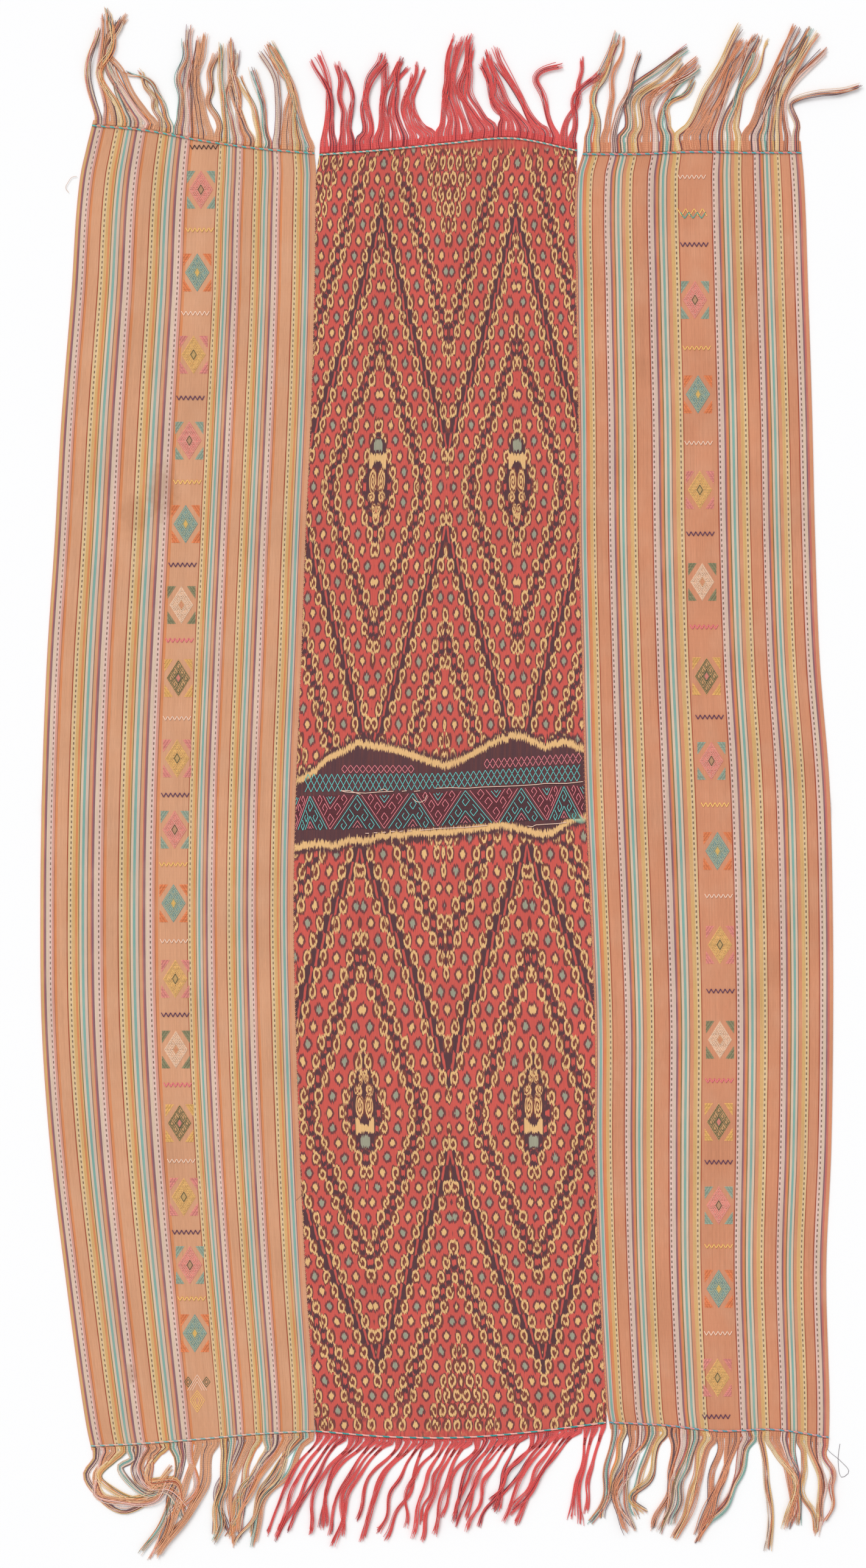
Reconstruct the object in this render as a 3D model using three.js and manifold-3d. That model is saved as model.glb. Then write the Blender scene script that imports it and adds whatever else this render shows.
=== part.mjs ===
// Ikat woven cloth, laid flat and face up. Three loom widths lie side by side and are
// sewn edge to edge: a striped panel at each side and the ikat panel between them.
// Each panel ends at a twined line. Past it the warp yarns are a narrow end band and
// then a long fringe of loose locks, gathered in clumps as they fell.
// Millimetres, +Z up, +Y along the warp, +X across the three panels.

import * as THREE from 'three';
import Module from 'manifold-3d';

const wasm = await Module();
wasm.setup();

// Driving sizes

const CLOTH_THICKNESS = 1.5;
const PIECE_GAP = 0.3;
const CREASE = { y: -33, reach: 26, height: 1.1 };
const TWINE_MARGIN = 2;
const LOCK = {
  width: 3.6,
  height: 1.7,
  seat: 3,
  rootShare: 0.62,
  clumpShare: 0.72,
  tipShare: 0.75,
  steps: 6,
};
const TIP_LENGTHS = [0, -8, 4, -13, 6, -4, -10];
const GRID = { columns: 6, rowPitch: 58 };

// Outline from the lower to the upper end. Each row gives the two outer edges, the two
// seams, and how far each seam has come open, which is only near the corners.

const EDGES = [
  { y: -940, left: -474, leftSeam: -163, leftOpen: 5, rightSeam: 248, rightOpen: 9, right: 551 },
  { y: -905, left: -482, leftSeam: -165, leftOpen: 1, rightSeam: 245, rightOpen: 6, right: 552.5 },
  { y: -870, left: -488, leftSeam: -166, leftOpen: 0, rightSeam: 242, rightOpen: 0, right: 553 },
  { y: -680, left: -514, leftSeam: -178, leftOpen: 0, rightSeam: 231.5, rightOpen: 0, right: 548.5 },
  { y: -510, left: -534, leftSeam: -186, leftOpen: 0, rightSeam: 226, rightOpen: 0, right: 555.5 },
  { y: -340, left: -546, leftSeam: -191.5, leftOpen: 0, rightSeam: 226, rightOpen: 0, right: 558 },
  { y: -170, left: -548, leftSeam: -194.5, leftOpen: 0, rightSeam: 219.5, rightOpen: 0, right: 557.5 },
  { y: 0, left: -545.5, leftSeam: -191, leftOpen: 0, rightSeam: 212, rightOpen: 0, right: 553 },
  { y: 170, left: -539, leftSeam: -184, leftOpen: 0, rightSeam: 208, rightOpen: 0, right: 539.5 },
  { y: 340, left: -528, leftSeam: -178, leftOpen: 0, rightSeam: 204, rightOpen: 0, right: 533 },
  { y: 510, left: -518.5, leftSeam: -170.5, leftOpen: 0, rightSeam: 203, rightOpen: 0, right: 529 },
  { y: 680, left: -505, leftSeam: -165.5, leftOpen: 0, rightSeam: 200, rightOpen: 0, right: 523.5 },
  { y: 850, left: -492, leftSeam: -163, leftOpen: 0, rightSeam: 200, rightOpen: 0, right: 517 },
  { y: 882, left: -485, leftSeam: -162, leftOpen: 7, rightSeam: 205, rightOpen: 8, right: 514 },
  { y: 935, left: -472, leftSeam: -164, leftOpen: 9, rightSeam: 206, rightOpen: 11, right: 510 },
];

// Soft ridges where the cloth doesn't lie quite flat: centre, direction of the crest in
// degrees from +X, half length, half width and height.

const RIDGES = [
  { x: -80, y: -800, turn: -40, halfLength: 120, halfWidth: 50, height: 2.4 },
  { x: 140, y: -560, turn: 65, halfLength: 150, halfWidth: 60, height: 1.2 },
  { x: 300, y: -735, turn: -50, halfLength: 95, halfWidth: 55, height: 1.8 },
  { x: -385, y: 560, turn: 80, halfLength: 160, halfWidth: 70, height: 1.0 },
];

// The panels. Each end's twined line is given at five even stations from left to right,
// and the panel runs on past it by the twine's margin. The end band's outer edge lies the
// stated distance past the line. The clumps of a fringe are listed from left to right too,
// and share its evenly set roots: each has its count of locks and the stations (x, y,
// spread across) it passes through.

const PANELS = [
  {
    name: 'left', edges: ['left', 'leftSeam'], opens: [null, 'leftOpen'],
    cloth: 0xd9a075, yarn: 0xc98a5c, roughness: 0.9,
    ends: {
      top: {
        line: [919, 912, 898, 887, 880], band: 13,
        clumps: [
          { count: 1, path: [[-482, 985, 0], [-464, 1058, 0]] },
          { count: 7, path: [[-449, 1000, 19], [-442, 1074, 26]] },
          { count: 2, path: [[-383, 955, 9], [-402, 974, 6], [-421, 994, 6]] },
          { count: 5, path: [[-338, 985, 30], [-333, 1050, 38]] },
          { count: 5, path: [[-288, 960, 34], [-288, 1032, 26]] },
          { count: 2, path: [[-246, 950, 9], [-262, 1000, 6]] },
          { count: 5, path: [[-208, 980, 15], [-228, 1032, 13]] },
        ],
      },
      bottom: {
        line: [-924, -920, -914, -907, -903], band: 10,
        clumps: [
          {
            count: 4,
            path: [[-468, -968, 24], [-455, -995, 18], [-424, -1008, 16], [-396, -1026, 14], [-389, -1074, 14]],
          },
          { count: 5, path: [[-402, -960, 36], [-378, -1002, 18], [-362, -1048, 18]] },
          { count: 6, path: [[-332, -975, 38], [-334, -1046, 24]] },
          { count: 5, path: [[-287, -985, 26], [-296, -1054, 19]] },
          { count: 6, path: [[-224, -952, 42], [-254, -1006, 28], [-266, -1050, 28]] },
        ],
      },
    },
  },
  {
    name: 'centre', edges: ['leftSeam', 'rightSeam'], opens: ['leftOpen', 'rightOpen'],
    cloth: 0xa34c3f, yarn: 0xc94a48, roughness: 0.92,
    ends: {
      top: {
        line: [878, 885, 894, 901, 884], band: 18,
        clumps: [
          { count: 2, path: [[-150, 955, 13], [-158, 1020, 15]] },
          { count: 2, path: [[-122, 950, 11], [-126, 1004, 8]] },
          { count: 9, path: [[-60, 955, 78], [-46, 1008, 72]] },
          { count: 7, path: [[34, 965, 40], [44, 1040, 30]] },
          { count: 6, path: [[102, 955, 36], [76, 1018, 16]] },
          { count: 1, path: [[143, 965, 0], [150, 988, 0], [184, 1003, 0]] },
          { count: 1, path: [[190, 955, 0], [218, 1020, 0]] },
          { count: 1, path: [[209, 952, 0], [229, 994, 0]] },
        ],
      },
      bottom: {
        line: [-903, -911, -912, -904, -891], band: 7,
        clumps: [
          { count: 4, path: [[-178, -960, 26], [-219, -1048, 28]] },
          { count: 6, path: [[-130, -965, 44], [-156, -1048, 50]] },
          { count: 5, path: [[-58, -970, 42], [-76, -1050, 48]] },
          { count: 5, path: [[0, -970, 40], [-4, -1046, 36]] },
          { count: 7, path: [[62, -965, 52], [42, -1034, 36]] },
          { count: 7, path: [[138, -955, 54], [100, -1018, 32]] },
          { count: 2, path: [[203, -965, 12], [194, -1032, 14]] },
          { count: 1, path: [[223, -960, 0], [214, -1026, 0]] },
        ],
      },
    },
  },
  {
    name: 'right', edges: ['rightSeam', 'right'], opens: ['rightOpen', null],
    cloth: 0xd28a66, yarn: 0xcb7f55, roughness: 0.9,
    ends: {
      top: {
        line: [879, 879, 882, 881, 881], band: 27,
        clumps: [
          { count: 2, path: [[235, 955, 8], [256, 1042, 9]] },
          { count: 2, path: [[266, 985, 7], [278, 1036, 6]] },
          { count: 7, path: [[318, 955, 50], [344, 1010, 42]] },
          { count: 8, path: [[408, 965, 50], [446, 1042, 38]] },
          { count: 6, path: [[479, 965, 36], [526, 1050, 44]] },
          { count: 1, path: [[513, 945, 0], [534, 966, 0], [590, 970, 0]] },
        ],
      },
      bottom: {
        line: [-891, -895, -903, -901, -912], band: 15,
        clumps: [
          { count: 2, path: [[247, -955, 9], [237, -990, 9], [229, -1032, 10]] },
          { count: 5, path: [[288, -960, 34], [283, -1034, 34]] },
          { count: 6, path: [[348, -970, 44], [334, -1050, 42]] },
          { count: 5, path: [[410, -970, 34], [378, -1056, 20]] },
          { count: 1, path: [[479, -991, 0], [474, -1064, 0]] },
          { count: 4, path: [[502, -975, 20], [500, -1038, 14]] },
          { count: 4, path: [[538, -975, 26], [540, -1040, 30]] },
        ],
      },
    },
  },
];

// Smooth reading of the tables

const smooth = (stations, values) => {
  const curve = new THREE.CubicInterpolant(stations, values, 1, new Float64Array(1));
  return (at) => curve.evaluate(at)[0];
};

const edgeLines = {};
for (const column of Object.keys(EDGES[0])) {
  edgeLines[column] = smooth(EDGES.map((row) => row.y), EDGES.map((row) => row[column]));
}

// A panel's own two edges at height y: half of an open seam's gap lies on each side.
function edgesAt(panel, y) {
  const halfGap = (column) => (PIECE_GAP + Math.max(0, edgeLines[column](y))) / 2;
  const [low, high] = panel.edges.map((column) => edgeLines[column](y));
  const [lowOpen, highOpen] = panel.opens;
  return [lowOpen ? low + halfGap(lowOpen) : low, highOpen ? high - halfGap(highOpen) : high];
}

function acrossPanel(panel, share, y) {
  const [low, high] = edgesAt(panel, y);
  return THREE.MathUtils.lerp(low, high, share);
}

const endLine = (end) => smooth([0, 0.25, 0.5, 0.75, 1], end.line);

// Height of the cloth's underside over the floor: nothing, but for ridges and the crease.
function swell(distance, reach) {
  if (Math.abs(distance) >= reach) return 0;
  return Math.cos((Math.PI * distance) / (2 * reach)) ** 2;
}

function underside(x, y) {
  let height = CREASE.height * swell(y - CREASE.y, CREASE.reach);
  for (const ridge of RIDGES) {
    const turn = THREE.MathUtils.degToRad(ridge.turn);
    const along = (x - ridge.x) * Math.cos(turn) + (y - ridge.y) * Math.sin(turn);
    const across = (y - ridge.y) * Math.cos(turn) - (x - ridge.x) * Math.sin(turn);
    height += ridge.height * swell(along, ridge.halfLength) * swell(across, ridge.halfWidth);
  }
  return height;
}

// Solids

function closedSolid(points, faces) {
  const mesh = new wasm.Mesh({
    numProp: 3,
    vertProperties: new Float32Array(points.flat()),
    triVerts: new Uint32Array(faces.flat()),
  });
  return new wasm.Manifold(mesh);
}

// A sheet of even thickness on a grid of underside points, rows towards +Y and columns
// towards +X.
function sheetSolid(rows) {
  const rowCount = rows.length;
  const columnCount = rows[0].length;
  const lowerPoints = rows.flat();
  const upperPoints = lowerPoints.map(([x, y, z]) => [x, y, z + CLOTH_THICKNESS]);
  const lower = (row, column) => row * columnCount + column;
  const upper = (row, column) => rowCount * columnCount + row * columnCount + column;
  const faces = [];
  const quad = (a, b, c, d) => faces.push([a, b, c], [a, c, d]);
  for (let row = 0; row < rowCount - 1; row += 1) {
    for (let column = 0; column < columnCount - 1; column += 1) {
      quad(upper(row, column), upper(row, column + 1), upper(row + 1, column + 1), upper(row + 1, column));
      quad(lower(row, column), lower(row + 1, column), lower(row + 1, column + 1), lower(row, column + 1));
    }
    const last = columnCount - 1;
    quad(lower(row, 0), upper(row, 0), upper(row + 1, 0), lower(row + 1, 0));
    quad(lower(row, last), lower(row + 1, last), upper(row + 1, last), upper(row, last));
  }
  for (let column = 0; column < columnCount - 1; column += 1) {
    const last = rowCount - 1;
    quad(lower(0, column), lower(0, column + 1), upper(0, column + 1), upper(0, column));
    quad(lower(last, column), upper(last, column), upper(last, column + 1), lower(last, column + 1));
  }
  return closedSolid([...lowerPoints, ...upperPoints], faces);
}

// A lock of warp yarn: three sides, flat on the floor, along stations of x, y and width.
function lockSolid(stations) {
  const curve = new THREE.CatmullRomCurve3(stations);
  const points = [];
  const faces = [];
  for (let step = 0; step <= LOCK.steps; step += 1) {
    const share = step / LOCK.steps;
    const centre = curve.getPoint(share);
    const heading = curve.getTangent(share).setZ(0).normalize();
    const side = new THREE.Vector2(heading.y, -heading.x).multiplyScalar(centre.z / 2);
    const height = LOCK.height * (1 - 0.3 * share);
    points.push([centre.x - side.x, centre.y - side.y, 0]);
    points.push([centre.x + side.x, centre.y + side.y, 0]);
    points.push([centre.x, centre.y, height]);
  }
  for (let ring = 0; ring < LOCK.steps; ring += 1) {
    for (let corner = 0; corner < 3; corner += 1) {
      const here = ring * 3 + corner;
      const next = ring * 3 + ((corner + 1) % 3);
      faces.push([here, here + 3, next], [next, here + 3, next + 3]);
    }
  }
  const lastRing = LOCK.steps * 3;
  faces.push([0, 1, 2], [lastRing, lastRing + 2, lastRing + 1]);
  return closedSolid(points, faces);
}

// The end band past a twined line, as a sheet two rows deep.
function bandSolid(panel, end, outward) {
  const line = endLine(end);
  const row = (distance) => Array.from({ length: GRID.columns + 1 }, (_, column) => {
    const share = column / GRID.columns;
    const y = line(share) + outward * distance;
    return [acrossPanel(panel, share, y), y, 0];
  });
  const rows = [row(TWINE_MARGIN + PIECE_GAP), row(end.band)];
  return sheetSolid(outward > 0 ? rows : rows.reverse());
}

// A lock's root, on the outer edge of the end band.
function rootPoint(panel, end, outward, share) {
  const y = endLine(end)(share) + outward * end.band;
  return new THREE.Vector2(acrossPanel(panel, share, y), y);
}

// One clump: its locks lie side by side, evenly spread across the clump's own path.
function clumpLocks(panel, end, outward, clump, firstLock, rootPitchShare) {
  const rootAt = (lock) => rootPoint(panel, end, outward, lock * rootPitchShare);
  const rootWidth = rootAt(firstLock + 1).distanceTo(rootAt(firstLock)) * LOCK.rootShare;
  const path = [rootAt(firstLock + clump.count / 2), ...clump.path.map(([x, y]) => new THREE.Vector2(x, y))];
  const last = path.length - 1;
  const locks = [];
  for (let index = 0; index < clump.count; index += 1) {
    const place = clump.count > 1 ? index / (clump.count - 1) - 0.5 : 0;
    const root = rootAt(firstLock + index + 0.5);
    const stations = [
      new THREE.Vector3(root.x, root.y - outward * LOCK.seat, rootWidth),
      new THREE.Vector3(root.x, root.y + outward * LOCK.seat, rootWidth * LOCK.clumpShare),
    ];
    for (let station = 1; station <= last; station += 1) {
      const spread = clump.path[station - 1][2];
      const ahead = path[Math.min(station + 1, last)].clone().sub(path[station - 1]).normalize();
      const rightward = new THREE.Vector2(ahead.y, -ahead.x).multiplyScalar(outward * spread * place);
      const centre = path[station].clone().add(rightward);
      const tipLength = TIP_LENGTHS[(firstLock + index) % TIP_LENGTHS.length];
      if (station === last) centre.addScaledVector(ahead, tipLength);
      const pitch = clump.count > 1 ? spread / (clump.count - 1) : LOCK.width;
      const width = Math.min(LOCK.width, pitch * LOCK.clumpShare) * (station === last ? LOCK.tipShare : 1);
      stations.push(new THREE.Vector3(centre.x, centre.y, width));
    }
    locks.push(lockSolid(stations));
  }
  return locks;
}

function fringeSolid(panel, end, outward) {
  const lockCount = end.clumps.reduce((sum, clump) => sum + clump.count, 0);
  let body = bandSolid(panel, end, outward);
  let firstLock = 0;
  for (const clump of end.clumps) {
    const locks = clumpLocks(panel, end, outward, clump, firstLock, 1 / lockCount);
    for (const lock of locks) body = body.add(lock);
    firstLock += clump.count;
  }
  return body;
}

// A panel, with a row of its grid along the crest of the crease.
function panelSolid(panel) {
  const bottom = endLine(panel.ends.bottom);
  const top = endLine(panel.ends.top);
  const length = top(0.5) - bottom(0.5);
  const rowCount = Math.round(length / GRID.rowPitch);
  const rowShares = Array.from({ length: rowCount + 1 }, (_, row) => row / rowCount);
  rowShares.push((CREASE.y - bottom(0.5)) / length);
  rowShares.sort((a, b) => a - b);
  const rows = rowShares.map((rowShare) => Array.from({ length: GRID.columns + 1 }, (_, column) => {
    const share = column / GRID.columns;
    const y = THREE.MathUtils.lerp(bottom(share) - TWINE_MARGIN, top(share) + TWINE_MARGIN, rowShare);
    const x = acrossPanel(panel, share, y);
    return [x, y, underside(x, y)];
  }));
  return sheetSolid(rows);
}

// The cloth

const cloth = new THREE.Group();

function addPiece(name, solid, color, roughness) {
  const { vertProperties, triVerts } = solid.getMesh();
  const geometry = new THREE.BufferGeometry();
  geometry.setAttribute('position', new THREE.BufferAttribute(vertProperties, 3));
  geometry.setIndex(new THREE.BufferAttribute(triVerts, 1));
  geometry.computeVertexNormals();
  const material = new THREE.MeshStandardMaterial({ color, roughness, metalness: 0 });
  const piece = new THREE.Mesh(geometry, material);
  piece.name = name;
  cloth.add(piece);
}

for (const panel of PANELS) {
  const { name, ends, cloth: clothColor, yarn: yarnColor, roughness } = panel;
  addPiece(`panel_${name}`, panelSolid(panel), clothColor, roughness);
  addPiece(`fringe_top_${name}`, fringeSolid(panel, ends.top, 1), yarnColor, roughness);
  addPiece(`fringe_bottom_${name}`, fringeSolid(panel, ends.bottom, -1), yarnColor, roughness);
}

// The origin is under the middle of the whole cloth.
const middle = new THREE.Box3().setFromObject(cloth).getCenter(new THREE.Vector3());
cloth.position.set(-middle.x, -middle.y, 0);

export default cloth;
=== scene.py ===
import math

import bpy
import numpy as np
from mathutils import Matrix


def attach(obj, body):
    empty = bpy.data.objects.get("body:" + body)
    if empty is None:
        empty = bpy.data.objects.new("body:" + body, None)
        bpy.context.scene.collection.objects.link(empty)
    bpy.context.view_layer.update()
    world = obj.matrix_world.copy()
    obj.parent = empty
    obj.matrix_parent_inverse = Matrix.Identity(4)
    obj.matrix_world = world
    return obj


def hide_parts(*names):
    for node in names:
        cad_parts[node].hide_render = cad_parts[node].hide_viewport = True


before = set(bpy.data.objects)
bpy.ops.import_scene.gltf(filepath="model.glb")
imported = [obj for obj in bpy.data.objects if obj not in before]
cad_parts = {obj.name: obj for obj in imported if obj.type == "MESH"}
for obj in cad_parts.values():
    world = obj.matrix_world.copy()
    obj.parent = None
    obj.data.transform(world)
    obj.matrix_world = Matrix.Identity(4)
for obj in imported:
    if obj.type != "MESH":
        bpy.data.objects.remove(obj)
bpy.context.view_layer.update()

# The photograph's view
# The cloth lies face up on a white table. The camera looks straight down on it through a
# long lens, from high enough to take in both fringes.

VIEW_LENGTH = 2.1896
LENS = 85
SENSOR = 36
# The middle of the view, in metres from the middle of the frame
VIEW_MIDDLE = (-0.0240016, -0.0011387)


def give(tree, place, value):
    """Links an input to a socket or a measure, or sets it to a plain value."""
    value = getattr(value, "socket", value)
    if isinstance(value, bpy.types.NodeSocket):
        tree.links.new(value, place)
    else:
        place.default_value = value


def new_node(tree, kind, **inputs):
    """A new shader node with the inputs that it is given."""
    node = tree.nodes.new("ShaderNode" + kind)
    for name, value in inputs.items():
        give(tree, node.inputs[name], value)
    return node


def smooth_noise(tree, vector, scale, detail=2.0):
    """Soft noise read at a vector, as a number from 0 to 1."""
    return new_node(tree, "TexNoise", Vector=vector, Scale=scale, Detail=detail).outputs["Fac"]


def plain_material(name, roughness):
    """A new material with its Principled shader, and the tree that holds it."""
    material = bpy.data.materials.new(name)
    material.use_nodes = True
    tree = material.node_tree
    shader = tree.nodes["Principled BSDF"]
    shader.inputs["Roughness"].default_value = roughness
    shader.inputs["Specular IOR Level"].default_value = 0.2
    return material, tree, shader


def linear(colour):
    """A screen colour, each part from 0 to 255, as the light that it stands for."""
    parts = np.asarray(colour, float) / 255
    return np.where(parts <= 0.04045, parts / 12.92, ((parts + 0.055) / 1.055) ** 2.4)


def rgba(colour):
    return (*linear(colour), 1.0)


def new_object(name, data):
    """An object in the scene that shows this data."""
    thing = bpy.data.objects.new(name, data)
    bpy.context.scene.collection.objects.link(thing)
    return thing


camera_data = bpy.data.cameras.new("photo_camera")
camera_data.lens = LENS
camera_data.sensor_width = SENSOR
camera_data.clip_end = 60
camera = new_object("photo_camera", camera_data)
camera.location = (*VIEW_MIDDLE, VIEW_LENGTH * LENS / SENSOR)
bpy.context.scene.camera = camera

table_mesh = bpy.data.meshes.new("table")
table_mesh.from_pydata([(-8, -8, 0), (8, -8, 0), (8, 8, 0), (-8, 8, 0)], [], [(0, 1, 2, 3)])
table = new_object("table", table_mesh)
table_paint, table_tree, table_shader = plain_material("table_paint", 0.9)
table_shader.inputs["Base Color"].default_value = (0.97, 0.97, 0.975, 1)
table_place = new_node(table_tree, "TexCoord").outputs["Object"]
table_grain = smooth_noise(table_tree, table_place, 90)
table_bump = new_node(table_tree, "Bump", Strength=0.04, Height=table_grain)
table_tree.links.new(table_bump.outputs["Normal"], table_shader.inputs["Normal"])
table_mesh.materials.append(table_paint)

world = bpy.data.worlds.new("studio")
world.use_nodes = True
sky = world.node_tree.nodes["Background"]
sky.inputs["Color"].default_value = (1, 1, 1, 1)
sky.inputs["Strength"].default_value = 0.65
bpy.context.scene.world = world
bpy.context.scene.view_settings.view_transform = "Standard"

lamp_data = bpy.data.lights.new("window_light", "SUN")
lamp_data.energy = 1.62
lamp_data.angle = math.radians(35)
lamp = new_object("window_light", lamp_data)
lamp.rotation_euler = (math.radians(-34), math.radians(-30), 0)

# The three loom widths
# Warp-faced cotton, woven as three long panels on a body-tension loom and sewn edge to edge.
# They lie nearly flat, with a soft fold crease across the middle and a few slack wrinkles.

# The place on the cloth that is the middle of the shared frame
MIDDLE_X = 24.0016
MIDDLE_Y = 1.1387
CLOTH_THICKNESS = 1.5
PIECE_GAP = 0.3
# A panel runs on this far past its end lines
TWINE_MARGIN = 2
# How far from an end line its bends are felt in the rows of a panel
END_REACH = 130
CREASE_Y = -33
CREASE_REACH = 26
CREASE_HEIGHT = 1.1

# Height along the warp, left edge, left seam and how far it is open, right seam and how far
# it is open, and right edge, all in millimetres.
EDGE_ROWS = np.array([
    (-940, -474, -163, 5, 248, 9, 551),
    (-905, -482, -165, 1, 245, 6, 552.5),
    (-870, -488, -166, 0, 242, 0, 553),
    (-680, -514, -178, 0, 231.5, 0, 548.5),
    (-510, -534, -186, 0, 226, 0, 555.5),
    (-340, -546, -191.5, 0, 226, 0, 558),
    (-170, -548, -194.5, 0, 219.5, 0, 557.5),
    (0, -545.5, -191, 0, 212, 0, 553),
    (170, -539, -184, 0, 208, 0, 539.5),
    (340, -528, -178, 0, 204, 0, 533),
    (510, -518.5, -170.5, 0, 203, 0, 529),
    (680, -505, -165.5, 0, 200, 0, 523.5),
    (850, -492, -163, 0, 200, 0, 517),
    (882, -485, -162, 7, 205, 8, 514),
    (935, -472, -164, 9, 206, 11, 510),
], float)
EDGE_NAMES = ["left", "left_seam", "left_open", "right_seam", "right_open", "right"]

# Soft ridges: centre, direction of the crest in degrees, half length, half width, height.
RIDGES = [
    (-80, -800, -40, 120, 50, 2.4),
    (140, -560, 65, 150, 60, 1.2),
    (300, -735, -50, 95, 55, 1.8),
    (-385, 560, 80, 160, 70, 1.0),
]
# Sharper wrinkles on top of them, in the same order of values.
WRINKLES = [
    (-75, -805, -40, 105, 9, 1.5),
    (-62, -782, -41, 90, 7, 1.1),
    (-96, -822, -38, 80, 7, 0.9),
    (-40, -842, -30, 70, 8, 0.8),
    (120, -600, 62, 120, 9, 0.8),
    (275, -715, -52, 75, 8, 1.1),
    (300, -760, -48, 70, 8, 0.9),
    (262, -690, -60, 50, 6, 0.8),
    (-400, 560, 82, 130, 9, 0.7),
    (-352, 500, 78, 120, 10, 0.6),
    (0, -18, 2, 420, 5, 0.5),
    (30, -47, -1, 400, 6, 0.5),
    (-430, -560, 70, 130, 12, 0.8),
    (430, 300, 85, 160, 12, 0.7),
    (470, -420, 95, 170, 11, 0.7),
    (60, 330, 88, 170, 14, 0.5),
    (-40, 620, 80, 150, 12, 0.6),
]

CLOTH_SLOTS = {"left": "cotton_peach_striped", "right": "cotton_orange_striped"}
YARN_SLOTS = {"left": "yarn_peach", "centre": "yarn_red", "right": "yarn_orange"}
# Each loom width's edges, the heights of its end lines at five shares of its width, the depth
# of the bands past them, its width in millimetres and its area in square metres.
PANELS = {
    "left": {
        "edges": ("left", "left_seam"), "opens": (None, "left_open"),
        "top": [919, 912, 898, 887, 880], "bottom": [-924, -920, -914, -907, -903],
        "bands": {"top": 13, "bottom": 10}, "width": 355, "area": 0.627,
    },
    "centre": {
        "edges": ("left_seam", "right_seam"), "opens": ("left_open", "right_open"),
        "top": [878, 885, 894, 901, 884], "bottom": [-903, -911, -912, -904, -891],
        "bands": {"top": 18, "bottom": 7}, "width": 398, "area": 0.711,
    },
    "right": {
        "edges": ("right_seam", "right"), "opens": ("right_open", None),
        "top": [879, 879, 882, 881, 881], "bottom": [-891, -895, -903, -901, -912],
        "bands": {"top": 27, "bottom": 15}, "width": 332, "area": 0.584,
    },
}


def smooth(stations, values):
    """A smooth reading through a table, with straight ends."""
    stations = np.asarray(stations, float)
    values = np.asarray(values, float)
    last = len(stations) - 1

    def read(at):
        at = np.clip(np.asarray(at, float), stations[0], stations[-1])
        after = np.clip(np.searchsorted(stations, at, side="right"), 1, last)
        before = after - 1
        earlier = np.where(before > 0, before - 1, after)
        later = np.where(after < last, after + 1, before)
        start, end = stations[before], stations[after]
        half = (end - start) / 2
        lean_in = half / (start - stations[earlier])
        lean_out = half / (stations[later] - end)
        part = (at - start) / (end - start)
        squared = part * part
        cubed = squared * part
        return (
            values[earlier] * (-lean_in * cubed + 2 * lean_in * squared - lean_in * part)
            + values[before] * ((1 + lean_in) * cubed - (1.5 + 2 * lean_in) * squared
                                + (lean_in - 0.5) * part + 1)
            + values[after] * ((-1 - lean_out) * cubed + (1.5 + lean_out) * squared + 0.5 * part)
            + values[later] * (lean_out * cubed - lean_out * squared)
        )

    return read


edge_lines = {
    name: smooth(EDGE_ROWS[:, 0], EDGE_ROWS[:, column + 1])
    for column, name in enumerate(EDGE_NAMES)
}


def across_panel(panel, share, y):
    """How far across the cloth a share of a panel's width lies, at height y."""
    low, high = (edge_lines[name](y) for name in panel["edges"])
    low_open, high_open = panel["opens"]
    if low_open:
        low = low + (PIECE_GAP + np.maximum(0, edge_lines[low_open](y))) / 2
    if high_open:
        high = high - (PIECE_GAP + np.maximum(0, edge_lines[high_open](y))) / 2
    return low + (high - low) * share


def twined_line(panel, end):
    """Height of an end line, read at a share of the panel's width."""
    return smooth([0, 0.25, 0.5, 0.75, 1], panel[end])


def swell(distance, reach):
    """A soft rise from 0 at the reach to 1 at the middle."""
    near = np.abs(distance) < reach
    return np.where(near, np.cos(np.pi * distance / (2 * reach)) ** 2, 0)


def underside(x, y):
    """Height of the cloth's underside over the table, in millimetres."""
    height = CREASE_HEIGHT * swell(y - CREASE_Y, CREASE_REACH)
    for ridge_x, ridge_y, turn, half_length, half_width, rise in RIDGES + WRINKLES:
        turn = math.radians(turn)
        along = (x - ridge_x) * math.cos(turn) + (y - ridge_y) * math.sin(turn)
        across = (y - ridge_y) * math.cos(turn) - (x - ridge_x) * math.sin(turn)
        height = height + rise * swell(along, half_length) * swell(across, half_width)
    return height


def in_frame(x, y, z):
    """Millimetres on the cloth as metres in the shared frame."""
    x, y, z = np.broadcast_arrays(x, y, z)
    return np.stack([x - MIDDLE_X, y - MIDDLE_Y, z], axis=-1).reshape(-1, 3) / 1000


class Making:
    """A piece in the making: four-sided faces with a colour each, and maps over them."""

    def __init__(self):
        self.points, self.faces, self.dyes = [], [], []
        self.maps = {}
        self.count = 0

    def add(self, points, faces, dyes, **maps):
        self.points.append(points)
        self.faces.append(np.asarray(faces) + self.count)
        self.dyes.append(np.broadcast_to(np.asarray(dyes, float), (len(faces), 4)))
        for name, values in maps.items():
            self.maps.setdefault(name, []).append(values.reshape(-1, 2))
        self.count += len(points)

    def finish(self, name, material, slot):
        """The piece itself, riding on the one body."""
        mesh = bpy.data.meshes.new(name)
        faces = np.concatenate(self.faces)
        mesh.from_pydata(np.concatenate(self.points).tolist(), [], faces.tolist())
        dye = mesh.color_attributes.new("Dye", "FLOAT_COLOR", "CORNER")
        dye.data.foreach_set("color", np.repeat(np.concatenate(self.dyes), 4, axis=0).ravel())
        for map_name, values in self.maps.items():
            layer = mesh.uv_layers.new(name=map_name)
            layer.data.foreach_set("uv", np.concatenate(values).ravel())
        mesh.shade_smooth()
        mesh.set_sharp_from_angle(angle=math.radians(50))
        mesh.materials.append(material)
        piece = new_object(name, mesh)
        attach(piece, "root")
        return piece


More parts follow.
